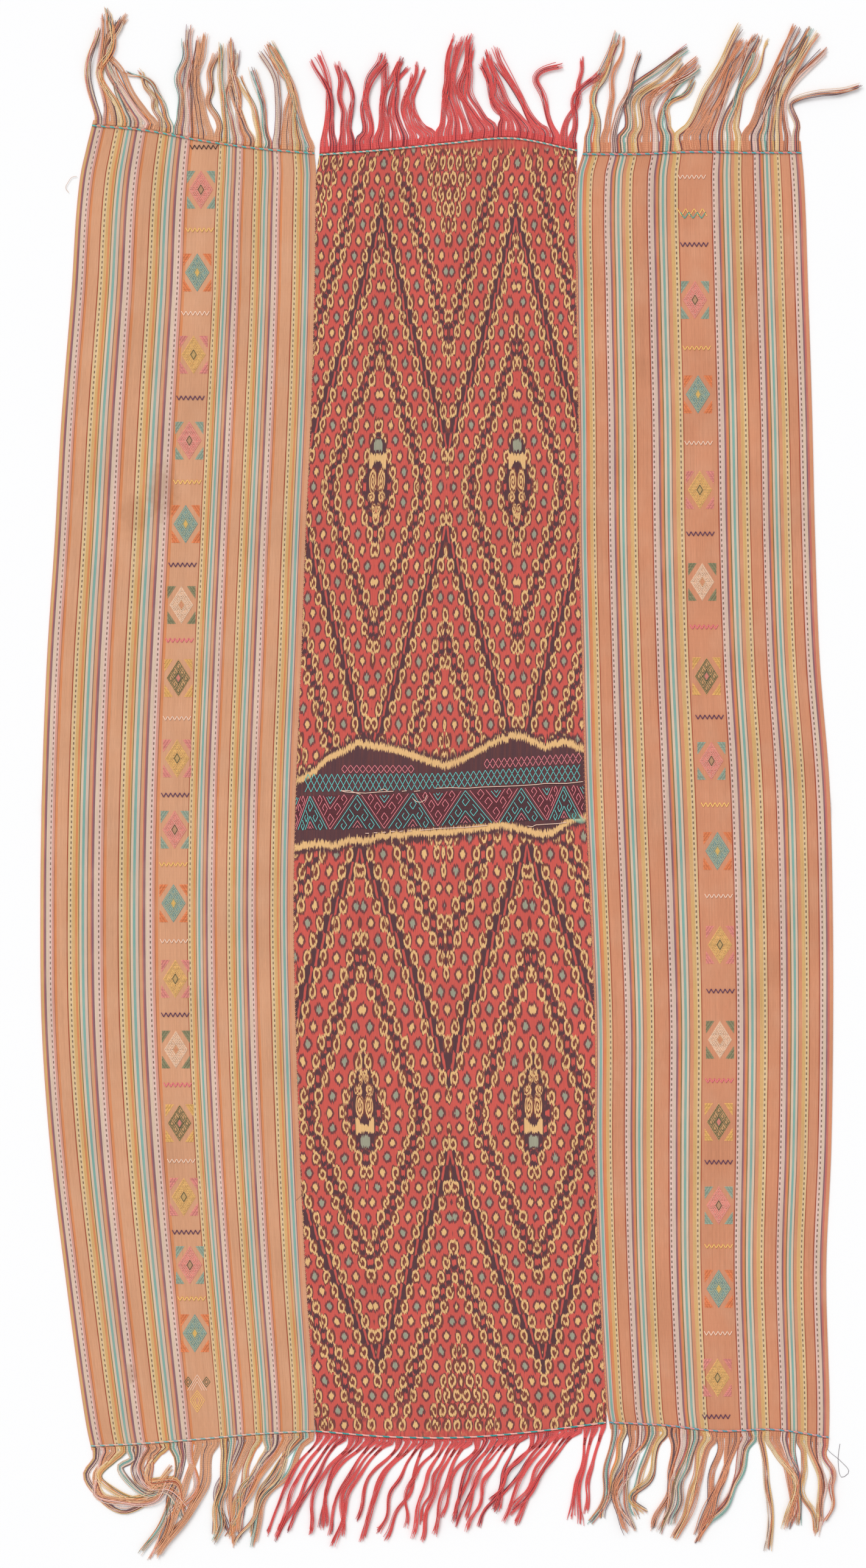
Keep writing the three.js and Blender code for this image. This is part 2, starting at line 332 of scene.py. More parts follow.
def add_sheet(making, x, y, z, thickness, dyes, **maps):
    """A closed sheet on a grid of underside points, rows along the warp."""
    rows, columns = x.shape
    count = rows * columns
    points = np.concatenate([in_frame(x, y, z + thickness), in_frame(x, y, z)])
    number = np.arange(count).reshape(rows, columns)
    a, b = number[:-1, :-1].ravel(), number[:-1, 1:].ravel()
    c, d = number[1:, 1:].ravel(), number[1:, :-1].ravel()
    west, east, south, north = number[:, 0], number[:, -1], number[0], number[-1]
    faces = np.concatenate([
        np.stack([a, b, c, d], axis=1),
        np.stack([a, d, c, b], axis=1) + count,
        np.stack([west[:-1] + count, west[:-1], west[1:], west[1:] + count], axis=1),
        np.stack([east[:-1] + count, east[1:] + count, east[1:], east[:-1]], axis=1),
        np.stack([south[:-1] + count, south[1:] + count, south[1:], south[:-1]], axis=1),
        np.stack([north[:-1], north[1:], north[1:] + count, north[:-1] + count], axis=1),
    ])
    cell = np.arange(columns - 1)
    face_columns = np.concatenate([
        np.tile(cell, rows - 1), np.tile(cell, rows - 1),
        np.zeros(rows - 1, int), np.full(rows - 1, columns - 2), cell, cell,
    ])
    on_corners = {name: values.reshape(-1, 2)[faces % count] for name, values in maps.items()}
    making.add(points, faces, np.asarray(dyes)[face_columns], **on_corners)


def panel_grid(panel, shares, heights):
    """Grid over a panel: straight rows, bent only near the ends to follow the twined lines."""
    bottom = twined_line(panel, "bottom")(shares) - TWINE_MARGIN
    top = twined_line(panel, "top")(shares) + TWINE_MARGIN
    level = np.asarray(heights)[:, None]
    near_bottom = np.clip(1 - (level - heights[0]) / END_REACH, 0, 1) ** 2
    near_top = np.clip(1 - (heights[-1] - level) / END_REACH, 0, 1) ** 2
    y = level + near_bottom * (bottom - heights[0]) + near_top * (top - heights[-1])
    x = across_panel(panel, shares, y)
    return x, y, underside(x, y)


def even_heights(panel, pitch, fixed=()):
    """Row heights from end to end of a panel, through the fixed ones, pitch apart at most."""
    ends = np.mean(panel["bottom"]) - TWINE_MARGIN, np.mean(panel["top"]) + TWINE_MARGIN
    marks = sorted([*ends, *fixed])
    heights = [marks[0]]
    for low, high in zip(marks, marks[1:]):
        steps = max(1, round((high - low) / pitch))
        heights.extend(np.linspace(low, high, steps + 1)[1:])
    return np.array(heights)


class Measure:
    """A number that changes over the cloth. Sums of measures become shader nodes."""

    def __init__(self, tree, socket):
        self.tree = tree
        self.socket = socket

    def step(self, operation, *others, clamp=False):
        node = new_node(self.tree, "Math")
        node.operation = operation
        node.use_clamp = clamp
        for place, value in zip(node.inputs, (self, *others)):
            give(self.tree, place, value)
        return Measure(self.tree, node.outputs[0])

    def __add__(self, other):
        return self.step("ADD", other)

    __radd__ = __add__

    def __sub__(self, other):
        return self.step("SUBTRACT", other)

    def __rsub__(self, other):
        return self.step("MULTIPLY_ADD", -1.0, other)

    def __mul__(self, other):
        return self.step("MULTIPLY", other)

    __rmul__ = __mul__

    def __truediv__(self, other):
        return self.step("DIVIDE", other)

    def size(self):
        return self.step("ABSOLUTE")

    def nearest(self):
        return self.step("ROUND")

    def fraction(self):
        return self.step("FRACT")

    def least(self, other):
        return self.step("MINIMUM", other)

    def most(self, other):
        return self.step("MAXIMUM", other)

    def under(self, limit, blur):
        """1 where this is less than the limit, 0 past it, with a soft edge."""
        if isinstance(limit, Measure):
            return ((limit - self) / blur).step("ADD", 0.5, clamp=True)
        return self.step("MULTIPLY_ADD", -1 / blur, limit / blur + 0.5, clamp=True)

    def over(self, limit, blur):
        return 1 - self.under(limit, blur)


def map_parts(tree, map_name):
    """The two numbers of a map, in millimetres."""
    reading = new_node(tree, "UVMap")
    reading.uv_map = map_name
    parts = new_node(tree, "SeparateXYZ", Vector=reading.outputs["UV"])
    return Measure(tree, parts.outputs["X"]), Measure(tree, parts.outputs["Y"])


def dye_of(tree):
    """The node that reads the dye of each face."""
    dye = new_node(tree, "VertexColor")
    dye.layer_name = "Dye"
    return dye


def vector_of(x, y, z=0.0):
    return new_node(x.tree, "CombineXYZ", X=x, Y=y, Z=z).outputs["Vector"]


def noise_of(x, y, detail=1.0):
    return Measure(x.tree, smooth_noise(x.tree, vector_of(x, y), 1.0, detail))


class Colour:
    """A colour over the cloth, a screen colour or a socket to begin with."""

    def __init__(self, tree, ground):
        self.tree = tree
        self.socket = rgba(ground) if isinstance(ground, tuple) else ground

    def lay(self, colour, mask):
        """Lays another colour over this one where the mask is 1."""
        mix = new_node(self.tree, "Mix")
        mix.data_type = "RGBA"
        give(self.tree, mix.inputs[0], mask)
        give(self.tree, mix.inputs[6], self)
        give(self.tree, mix.inputs[7], Colour(self.tree, colour))
        self.socket = mix.outputs[2]
        return self


def finish_surface(tree, shader, colour, shade, height, strength, depth):
    """Lays a shade over a colour, and a relief over the surface."""
    shaded = new_node(tree, "VectorMath")
    shaded.operation = "SCALE"
    give(tree, shaded.inputs[0], colour)
    give(tree, shaded.inputs["Scale"], shade)
    bump = new_node(tree, "Bump", Strength=strength, Distance=depth, Height=height)
    tree.links.new(shaded.outputs["Vector"], shader.inputs["Base Color"])
    tree.links.new(bump.outputs["Normal"], shader.inputs["Normal"])


YARN_PITCH = 0.75
WEFT_PITCH = 1.9


def woven_group():
    """Warp-faced weave: fine yarns side by side, and the low ribs of the weft under them."""
    group = bpy.data.node_groups.new("Warp_faced_weave", "ShaderNodeTree")
    for name in ("Across", "Along"):
        group.interface.new_socket(name, in_out="INPUT", socket_type="NodeSocketFloat")
    for name in ("Height", "Shade"):
        group.interface.new_socket(name, in_out="OUTPUT", socket_type="NodeSocketFloat")
    given = group.nodes.new("NodeGroupInput")
    out = group.nodes.new("NodeGroupOutput")
    across = Measure(group, given.outputs["Across"])
    along = Measure(group, given.outputs["Along"])
    yarn = noise_of(across / YARN_PITCH, along / 14)
    waver = noise_of(across / 6, along / 9) * 3
    rib = (along * (2 * math.pi / WEFT_PITCH) + waver).step("COSINE")
    slub = noise_of(across / 0.9, along / 160)
    cloud = noise_of(across / 70, along / 110)
    height = yarn + rib * 0.12
    shade = (slub - 0.5) * 0.32 + (yarn - 0.5) * 0.22 + (cloud - 0.5) * 0.22 + 0.89
    group.links.new(height.socket, out.inputs["Height"])
    group.links.new(shade.socket, out.inputs["Shade"])
    return group


weave = woven_group()


def woven_finish(tree, shader, colour, across, along):
    """Lays the weave's relief and its yarn-by-yarn shade over a colour."""
    cloth = new_node(tree, "Group")
    cloth.node_tree = weave
    give(tree, cloth.inputs["Across"], across)
    give(tree, cloth.inputs["Along"], along)
    shade, height = cloth.outputs["Shade"], cloth.outputs["Height"]
    finish_surface(tree, shader, colour, shade, height, 0.35, 0.0006)
    shader.inputs["Sheen Weight"].default_value = 0.08
    shader.inputs["Sheen Roughness"].default_value = 0.6


# The striped panels
# Plain warp stripes of peach, straw, teal, plum and cream cotton, in groups that repeat across
# the loom width. In two stripes of a group, dark floats on pale ground make a dotted line.

STRIPE_DYES = {
    "peach": (221, 160, 124),
    "red brown": (170, 84, 60),
    "straw": (229, 197, 149),
    "dotted straw": (228, 198, 160),
    "sand": (221, 176, 116),
    "orange": (223, 141, 92),
    "olive": (140, 121, 86),
    "cream": (226, 199, 176),
    "teal": (136, 177, 166),
    "pale lilac": (220, 192, 174),
    "grey": (146, 118, 104),
    "tan": (219, 162, 120),
    "rose": (205, 116, 104),
    "plum": (146, 105, 112),
    "lilac": (232, 196, 184),
    "dotted lilac": (230, 198, 186),
    "pink": (220, 158, 142),
    "brown": (170, 110, 80),
    "apricot": (219, 149, 112),
}
DASH_DYE = (112, 88, 74)
FADED_DYE = (232, 190, 160)
STAIN_DYE = (150, 96, 62)

# Widths are in photo steps of 0.85 mm, and each group is drawn out to its place's width.
LEFT_GROUP = [
    ("red brown", 2.0), ("straw", 3.4), ("dotted straw", 2.3), ("straw", 2.0), ("sand", 4.7),
    ("orange", 3.4), ("sand", 1.7), ("olive", 1.7), ("cream", 3.8), ("teal", 4.3),
    ("pale lilac", 4.6), ("grey", 1.6), ("tan", 4.7), ("rose", 1.6), ("plum", 3.6),
    ("cream", 5.6), ("lilac", 1.4), ("dotted lilac", 2.2), ("lilac", 1.9), ("pink", 3.9),
    ("brown", 1.4), ("orange", 4.2),
]
LEFT_SEAM_GROUP = [
    ("red brown", 2.0), ("straw", 2.8), ("dotted straw", 2.0), ("straw", 1.4), ("sand", 4.5),
    ("orange", 3.0), ("sand", 2.2), ("grey", 1.5), ("pale lilac", 3.3), ("teal", 4.0),
    ("pale lilac", 2.2), ("plum", 1.3), ("apricot", 4.0), ("peach", 6.0),
]
RIGHT_GROUP = [
    ("red brown", 2.0), ("lilac", 1.2), ("dotted lilac", 2.2), ("lilac", 1.3),
    ("pale lilac", 4.4), ("plum", 2.5), ("rose", 1.3), ("orange", 3.2), ("olive", 1.9),
    ("cream", 3.5), ("teal", 3.8), ("cream", 3.2), ("grey", 1.4), ("apricot", 5.3),
    ("sand", 5.6), ("straw", 1.0), ("dotted straw", 2.2), ("straw", 2.8), ("red brown", 1.5),
]
RIGHT_SEAM_GROUP = [
    ("apricot", 3.2), ("plum", 1.2), ("pale lilac", 2.6), ("teal", 4.0), ("pale lilac", 1.5),
    ("rose", 1.5), ("orange", 4.5), ("sand", 5.0), ("straw", 0.8), ("dotted straw", 2.0),
    ("straw", 2.1), ("red brown", 1.6),
]
RIGHT_EDGE_GROUP = [
    ("red brown", 2.0), ("lilac", 2.8), ("dotted lilac", 2.2), ("cream", 4.8), ("plum", 2.5),
    ("rose", 3.0), ("apricot", 5.5),
]
# Where each group starts and ends, in mm from the panel's left edge. Between groups is peach.
STRIPE_PLACES = {
    "left": [
        ([("pink", 1.0), ("sand", 3.5)], 0, 4.5), (LEFT_GROUP[13:], 4.5, 23),
        (LEFT_GROUP, 36.9, 92.3), (LEFT_GROUP, 108.3, 165), (LEFT_GROUP, 205.4, 247.9),
        (LEFT_GROUP, 260.2, 305.7), (LEFT_SEAM_GROUP, 320.8, 355),
    ],
    "right": [
        (RIGHT_SEAM_GROUP, 0, 25.5), (RIGHT_GROUP, 40.4, 83.7), (RIGHT_GROUP, 102.9, 150),
        (RIGHT_GROUP, 196.6, 242.3), (RIGHT_GROUP, 257.6, 300.1), (RIGHT_EDGE_GROUP, 312.4, 332),
    ],
}
GROUND_DYES = {"left": (221, 162, 125), "right": (217, 147, 112)}
GROUND_COLUMN = 5
DASH_PERIOD = 7.3
# Brown stains: how far across and along the panel, their half sizes and strength.
STAINS = {
    "left": [(150, 1325, 26, 45, 0.34), (110, 1290, 22, 34, 0.22), (80, 92, 11, 16, 0.3)],
    "right": [(90, 1480, 14, 26, 0.14), (250, 640, 18, 30, 0.12)],
}


def striped_columns(side):
    """Stripe edges as shares of the panel's width, and each stripe's dye. The fourth part of a
    dye is 1 where the stripe is dotted."""
    width = PANELS[side]["width"]
    edges, dyes = [0.0], []
    ground = (*linear(GROUND_DYES[side]), 0.0)
    for group, start, end in STRIPE_PLACES[side]:
        if start > edges[-1] + 0.01:
            steps = max(1, round((start - edges[-1]) / GROUND_COLUMN))
            edges.extend(np.linspace(edges[-1], start, steps + 1)[1:])
            dyes.extend([ground] * steps)
        scale = (end - start) / sum(stripe for _, stripe in group)
        for dye_name, stripe in group:
            edges.append(edges[-1] + stripe * scale)
            dyes.append((*linear(STRIPE_DYES[dye_name]), float("dotted" in dye_name)))
    return np.array(edges) / width, np.array(dyes)


stripes = {side: striped_columns(side) for side in STRIPE_PLACES}


def stripe_dye(side, share):
    """The dye of the yarn at a share of the panel's width."""
    edges, dyes = stripes[side]
    column = np.clip(np.searchsorted(edges, share) - 1, 0, len(dyes) - 1)
    return dyes[column]


def striped_cotton(side):
    material, tree, shader = plain_material(f"cotton_striped_{side}", 0.88)
    across, along = map_parts(tree, "Yarn")
    dye = dye_of(tree)
    dotted = Measure(tree, dye.outputs["Alpha"])
    beat = (along / DASH_PERIOD + noise_of(across / 3, along / 30) * 0.25).fraction()
    dash = beat.under(0.58, 0.08) * beat.over(0.08, 0.08) * dotted.over(0.5, 0.1)
    colour = Colour(tree, dye.outputs["Color"]).lay(DASH_DYE, dash * 0.86)
    faded = noise_of(across / 40, along / 60, 3.0).over(0.58, 0.25)
    colour.lay(FADED_DYE, faded * 0.16)
    for stain_x, stain_y, half_x, half_y, strength in STAINS[side]:
        x = (across - stain_x) / half_x
        y = (along - stain_y) / half_y
        spread = x * x + y * y + noise_of(across / 12, along / 12, 3.0) * 1.6 - 0.8
        colour.lay(STAIN_DYE, spread.under(0.6, 0.9) * strength)
    woven_finish(tree, shader, colour, across, along)
    return material


def striped_panel(side):
    panel = PANELS[side]
    shares, dyes = stripes[side]
    heights = even_heights(panel, pitch=8.5)
    x, y, z = panel_grid(panel, shares, heights)
    across = np.broadcast_to(shares * panel["width"], x.shape)
    yarn_map = np.stack([across, y - heights[0]], axis=-1)
    making = Making()
    add_sheet(making, x, y, z, CLOTH_THICKNESS, dyes, Yarn=yarn_map)
    piece = making.finish(f"striped_panel_{side}", striped_cotton(side), CLOTH_SLOTS[side])
    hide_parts(f"panel_{side}")
    return piece


panel_pieces = {side: striped_panel(side) for side in STRIPE_PLACES}

# The ikat panel
# Warp yarns were tied and dyed dark, red, straw and sage before weaving, so every figure has
# feathered ends. Slanting columns of hooks and dots mirror about three lines along the cloth
# and a fold across each half, round lozenges with a medallion. The middle is plain and dark.

# One step of the photograph in millimetres, and the column and row of the cloth's middle
STEP = 0.85
MIDDLE_COLUMN = 711
MIDDLE_ROW = 1288
ROW_PITCH = 27.5 * STEP
SLANT = 0.382
FIRST_ROW = 62.9
COLUMN_PERIOD = 57
# The middle axis and the lozenge axes at its sides, as shares of the width, in each half, and
# the distance from one to the other on the chart.
MIDDLE_AXIS = {"upper": 0.513, "lower": 0.508}
LOZENGE_AXIS = {"upper": 0.2585, "lower": 0.285}
AXIS_DISTANCE = 116
FOLD_ROWS = {"upper": 800, "lower": 1829}
# Distances of the chart's landmarks from a fold, on the chart and in each quarter, in steps,
# and how far apart the rows of hooks are in each quarter.
CHART_MARKS = [74, 20, 74, 252, 429, 605]
QUARTER_MARKS = {
    ("upper", 1): [-68, 0, 68, 241, 440, 620],
    ("upper", -1): [-72, 0, 72, 243, 437, 610],
    ("lower", 1): [-68, 0, 68, 267, 435, 600],
    ("lower", -1): [-70, 0, 70, 245, 404, 575],
}
QUARTER_PITCHES = {("upper", 1): 25.3, ("upper", -1): 26, ("lower", 1): 28.4, ("lower", -1): 24.4}
MEDALLION_ROWS = {"upper": 788, "lower": 1819}
# The two straw lines that close the plain middle: points across and along, in photo steps.
UPPER_LINE = [
    (488, 1282), (512, 1271), (537, 1247), (563, 1234), (588, 1221), (617, 1226), (646, 1231),
    (678, 1241), (703, 1250), (729, 1258), (757, 1249), (786, 1233), (812, 1218), (847, 1207),
    (869, 1215), (895, 1228), (926, 1218), (955, 1231),
]
LOWER_LINE = [
    (486, 1392), (521, 1386), (553, 1390), (576, 1379), (601, 1382), (627, 1373), (659, 1371),
    (703, 1368), (748, 1365), (799, 1359), (824, 1355), (856, 1362), (888, 1371), (910, 1368),
    (926, 1354), (946, 1343), (965, 1343),
]

IKAT_RED = (215, 94, 84)
IKAT_DARK = (94, 62, 66)
IKAT_STRAW = (240, 192, 132)
IKAT_SAGE = (164, 162, 140)
IKAT_BROWN = (132, 72, 62)
RUN_GREEN = (150, 205, 180)
# Places from the middle of a column and half sizes of its figures, in millimetres on the chart
DARK_HALF_WIDTH = 4.0
DOT_PLACE = 28.5
DOT_HALF = (4.0, 6.3)
HOOK_PLACE = 9.6
HOOK_HALF_LENGTH = 10.4
# Near the top of the chart the hooks crowd together
CROWDED_FROM = 107.0
FIRST_CROWDED_HOOK = 115
CROWDED_PITCH = 14.5
# Half widths of the dark edge of the plain middle and of the straw line on it
MIDDLE_EDGE = 11.0
STRAW_LINE = 4.6


def across_mm(column):
    """Millimetres across the cloth of a column of the photograph."""
    return (np.asarray(column, float) - MIDDLE_COLUMN) * STEP


def along_mm(row):
    """Millimetres along the cloth of a row of the photograph."""
    return (MIDDLE_ROW - np.asarray(row, float)) * STEP


def on_cloth(points):
    """Columns and rows of the photograph as millimetres on the cloth."""
    return [(across_mm(column), along_mm(row)) for column, row in points]


def ikat_maps(shares, x, y):
    """The chart's own measures at each grid point."""
    is_upper = y > 0
    middle = np.where(is_upper, MIDDLE_AXIS["upper"], MIDDLE_AXIS["lower"])
    lozenge = np.where(is_upper, LOZENGE_AXIS["upper"], LOZENGE_AXIS["lower"])
    from_axis = np.abs(shares - middle)
    mirrored = (lozenge - np.abs(from_axis - lozenge)) / lozenge * AXIS_DISTANCE
    chart_height, rows, row_shift = np.zeros((3, *y.shape))
    for (name, way), marks in QUARTER_MARKS.items():
        distance = (y - along_mm(FOLD_ROWS[name])) * way / STEP
        inside = (distance >= 0) & (is_upper == (name == "upper"))
        chart = smooth(marks, CHART_MARKS)
        pitch = QUARTER_PITCHES[name, way]
        step_up = chart(distance + pitch / 2) - chart(distance - pitch / 2)
        chart_height = np.where(inside, chart(distance) * STEP, chart_height)
        rows = np.where(inside, distance / pitch, rows)
        row_shift = np.where(inside, step_up * STEP * SLANT, row_shift)
    from_lozenge = (from_axis - lozenge) * PANELS["centre"]["width"]
    medallion = {half: along_mm(row) for half, row in MEDALLION_ROWS.items()}
    medallion_v = np.where(is_upper, y - medallion["upper"], medallion["lower"] - y)
    upper_line, lower_line = (
        np.interp(x, *np.array(on_cloth(line)).T) for line in (UPPER_LINE, LOWER_LINE)
    )
    return {
        "Ikat": np.stack(np.broadcast_arrays(mirrored, chart_height), axis=-1),
        "Rows": np.stack([rows, row_shift], axis=-1),
        "Medallion": np.stack(np.broadcast_arrays(from_lozenge, medallion_v), axis=-1),
        "Band": np.stack([y - upper_line, lower_line - y], axis=-1),
    }


def hook(x, y, phase):
    """A hook that reaches 1 each way and curls in at its end: the distance from its middle,
    and 1 where its yarns are straw."""
    radius = (x * x + y * y).step("SQRT")
    turn = (y.step("ARCTAN2", x) / (2 * math.pi) + phase).fraction()
    curled_in = (turn - 0.5).most(0.0) * 1.2
    return radius, (radius + curled_in - 0.84).size().under(0.215, 0.06)


def chance(x, y, z=0.0):
    """A number from 0 to 1 that is the same all over one cell."""
    cell = new_node(x.tree, "TexWhiteNoise", Vector=vector_of(x, y, z))
    return Measure(x.tree, cell.outputs["Value"])


def ikat_cotton():
    """The chart as a material: every layer of dye is laid over those before it."""
    material, tree, shader = plain_material("cotton_ikat", 0.9)
    across, along = map_parts(tree, "Yarn")
    axis_distance, chart_height = map_parts(tree, "Ikat")
    chart_rows, row_shift = map_parts(tree, "Rows")
    medallion_x, medallion_v = map_parts(tree, "Medallion")
    above, below = map_parts(tree, "Band")

    # Each yarn slipped a little along the warp when it was put on the loom.
    slip = (noise_of(across / 1.2, along / 45) - 0.5) * 19
    drift = (noise_of(across / 16, along / 40) - 0.5) * 5
    moved = slip * 0.7 + drift
    height = chart_height + moved
    medallion_y = medallion_v + slip * 0.7

    rows = chart_rows + moved / ROW_PITCH
    row = rows.nearest()
    from_row = (rows - row) * ROW_PITCH
    slanted = (height - FIRST_ROW) * SLANT - axis_distance
    stepped = slanted - (rows - row) * row_shift
    column = (stepped / COLUMN_PERIOD).nearest()
    from_column = stepped - column * COLUMN_PERIOD
    column_gap = from_column.size()
    side = from_column.step("SIGN")
    uneven = chance(row, column * 2 + side)
    bold = column.size().under(0.5, 0.1)
    from_end = along.least(PANEL_LENGTH - along) + slip * 1.2

    # Ground: dark by the columns, red between the hooks and dots
    dark_width = bold * 3.2 + DARK_HALF_WIDTH
    dark = column_gap.under(dark_width, 1.2) * from_end.over(25.0, 60.0)
    colour = Colour(tree, IKAT_RED).lay(IKAT_DARK, dark)
    # Dots, straw and sage by turns, with a dark rim
    dot_x = (column_gap - DOT_PLACE) / DOT_HALF[0]
    dot_y = from_row / DOT_HALF[1]
    dot = (dot_x * dot_x + dot_y * dot_y).step("SQRT") * 0.6 + (dot_x.size() + dot_y.size()) * 0.4
    colour.lay(IKAT_DARK, dot.under(1.66, 0.2) * 0.85)
    parity = ((row + (stepped / COLUMN_PERIOD).step("FLOOR")) * 0.5).fraction()
    dot_colour = Colour(tree, IKAT_STRAW).lay(IKAT_SAGE, parity.over(0.25, 0.1))
    colour.lay(dot_colour.socket, dot.under(0.95, 0.14))
    # The red line up the bold dark column, and the red squares in its neighbours
    line = ((stepped + slanted) * 0.5 + 1.8).size().under(1.6, 0.7)
    colour.lay(IKAT_RED, line * bold * 0.9)
    square = column_gap.under(2.7, 0.6) * from_row.size().under(4.6, 0.8)
    colour.lay(IKAT_RED, square * (1 - bold))

    # Hooks
    crowded = stepped.over(CROWDED_FROM, 1.0)
    past_first = stepped - FIRST_CROWDED_HOOK
    near_column = (past_first / CROWDED_PITCH).nearest()
    near_x = past_first - near_column * CROWDED_PITCH
    chain = bold * 1.2 + HOOK_PLACE
    place = (column_gap - chain + (uneven - 0.5) * 1.6) * side
    hook_x = (place * (1 - crowded) + near_x * crowded) / (uneven * 0.8 + 4.9)
    hook_y = (from_row + (uneven - 0.5) * 2.4) / HOOK_HALF_LENGTH
    phase = chance(row, column * 2 + side, near_column)
    phase = (phase * 4).step("FLOOR") * 0.25
    radius, curl = hook(hook_x, hook_y, phase)
    colour.lay(IKAT_RED, crowded * radius.over(1.2, 0.2))
    colour.lay(IKAT_DARK, radius.under(1.36, 0.14) * 0.88)
    colour.lay(IKAT_BROWN, radius.under(1.1, 0.1))
    colour.lay(IKAT_STRAW, curl)
    # Hooks of one column hang together from row to row
    tie_x = from_column - side * chain + from_row / ROW_PITCH * row_shift
    tie = tie_x.size().under(1.1, 0.6) * from_row.size().over(9.0, 0.8)
    colour.lay(IKAT_STRAW, tie * (1 - crowded))

    # The medallion in each lozenge
    mirror_x = medallion_x.size()
    plate = mirror_x.under(15.4, 1.0) * (medallion_y + 6).size().under(24.0, 2.0)
    tail = mirror_x.under(12.0, 1.0) * (medallion_y - 5).size().under(46.0, 2.0)
    colour.lay(IKAT_DARK, plate.most(tail))
    # Coils: middle across and along, half sizes, where the arm starts and its windings
    coils = [
        (5.9, -1.7, 5.6, 16.5, 0.1, 1.6),
        (7.5, -25.0, 5.0, 7.6, 0.6, 1.0),
        (3.8, -40.5, 3.4, 7.2, 0.35, 1.0),
    ]
    for centre_x, centre_y, half_x, half_y, turn, windings in coils:
        x = (mirror_x - centre_x) / half_x
        y = (medallion_y - centre_y) / half_y
        edge = (x * x + y * y).step("SQRT")
        turned = y.step("ARCTAN2", x) / (2 * math.pi) + turn
        arm = (((0.83 - edge * windings) / 0.74 - turned + 0.5).fraction() - 0.5).size() * 0.74
        coil = arm.under(0.215, 0.06) * edge.under(1.02, 0.06)
        colour.lay(IKAT_BROWN, edge.under(1.12, 0.1))
        colour.lay(IKAT_STRAW, coil)
    # A straw bat shape with a notch below, and a sage blob beyond it
    notch = (mirror_x - 4.5).most(0.0) * -2.4 + 25
    bat = medallion_y.under(mirror_x * 0.25 + 34, 0.8) * medallion_y.over(notch.most(15.0), 0.8)
    colour.lay(IKAT_STRAW, bat * mirror_x.under(12.4, 0.8))
    tip = (medallion_y + 50).size().under(mirror_x * 0.5 + 1.0, 0.8) * mirror_x.under(5.0, 0.8)
    colour.lay(IKAT_STRAW, tip)
    blob_x = medallion_x / 6.4
    blob_y = (medallion_y - 47.5) / 8.0
    blob = blob_x * blob_x * blob_x * blob_x + blob_y * blob_y * blob_y * blob_y
    colour.lay(IKAT_DARK, blob.under(3.4, 0.8))
    colour.lay(IKAT_SAGE, blob.under(1.0, 0.25))

    # Both ends run out into plain red with darker streaks
    streaks = noise_of(across / 5, along / 90).under(0.42, 0.1)
    end_colour = Colour(tree, IKAT_RED).lay(IKAT_DARK, streaks * 0.55)
    colour.lay(end_colour.socket, from_end.under(3.5, 4.0) * 0.9)

    # The plain middle, closed by a straw line above and below
    outside = above.most(below) + slip * 1.6
    streak = noise_of(across / 2.5, along / 70).over(0.55, 0.2)
    streaky = Colour(tree, IKAT_DARK).lay(IKAT_BROWN, streak * 0.3)
    colour.lay(streaky.socket, outside.under(MIDDLE_EDGE, 2.0))
    from_line = (above + slip).size().least((below - slip).size())
    colour.lay(IKAT_STRAW, from_line.under(STRAW_LINE, 1.2))
    # A sea-green touch of the brocade's dye, run into the dark
    patch_x = (across - 385) / 12
    patch_y = (above + 99) / 6
    patch = (patch_x * patch_x + patch_y * patch_y).under(0.8, 1.0)
    colour.lay(RUN_GREEN, patch * 0.7)
    woven_finish(tree, shader, colour, across, along)
    return material


centre = PANELS["centre"]
PANEL_LENGTH = np.mean(centre["top"]) - np.mean(centre["bottom"]) + 2 * TWINE_MARGIN
fixed_heights = [-0.5, 0.5, *(along_mm(row) for row in FOLD_ROWS.values())]
axes = sorted(
    MIDDLE_AXIS[half] + side * LOZENGE_AXIS[half] for half in MIDDLE_AXIS for side in (-1, 0, 1)
)
ikat_shares = np.unique(np.concatenate([
    np.linspace(low, high, max(2, round((high - low) * 66) + 1))
    for low, high in zip([0, *axes], [*axes, 1])
]))
ikat_heights = even_heights(centre, pitch=6.5, fixed=fixed_heights)
ikat_x, ikat_y, ikat_z = panel_grid(centre, ikat_shares, ikat_heights)
ikat_across = np.broadcast_to(ikat_shares * centre["width"], ikat_x.shape)
ikat_making = Making()
add_sheet(
    ikat_making, ikat_x, ikat_y, ikat_z, CLOTH_THICKNESS,
    np.broadcast_to(rgba(IKAT_RED), (len(ikat_shares) - 1, 4)),
    Yarn=np.stack([ikat_across, ikat_y - ikat_heights[0]], axis=-1),
    **ikat_maps(ikat_shares, ikat_x, ikat_y),
)
panel_pieces["centre"] = ikat_making.finish("ikat_panel", ikat_cotton(), "cotton_ikat")
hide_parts("panel_centre")

# The seams
# The loom widths are sewn edge to edge with small slanting stitches of pale cotton, which stop
# where a seam has come open at its ends.

TWIST_LENGTH = 2.6
CURVE_POINTS = 26
SEAM_ENDS = (-885, 868)
SEAM_PITCH = 5.6
SEAM_REACH = 1.7
SEAM_RISE = SEAM_PITCH * 0.3
SEAM_DYES = {"left_seam": (214, 160, 128), "right_seam": (200, 132, 112)}


def running_length(points):
    """Length along a path up to each of its points."""
    steps = np.linalg.norm(np.diff(points, axis=0), axis=1)
    return np.concatenate([[0], np.cumsum(steps)])


def unit(vectors):
    """The same headings, each vector one long."""
    return vectors / np.maximum(np.linalg.norm(vectors, axis=-1, keepdims=True), 1e-9)


def bent_through(stations):
    """Points along a smooth curve through the stations, evenly set."""
    stations = np.asarray(stations, float)
    lengths = running_length(stations[:, :2])
    at = np.linspace(0, lengths[-1], CURVE_POINTS)
    return np.stack([smooth(lengths, values)(at) for values in stations.T], axis=1)


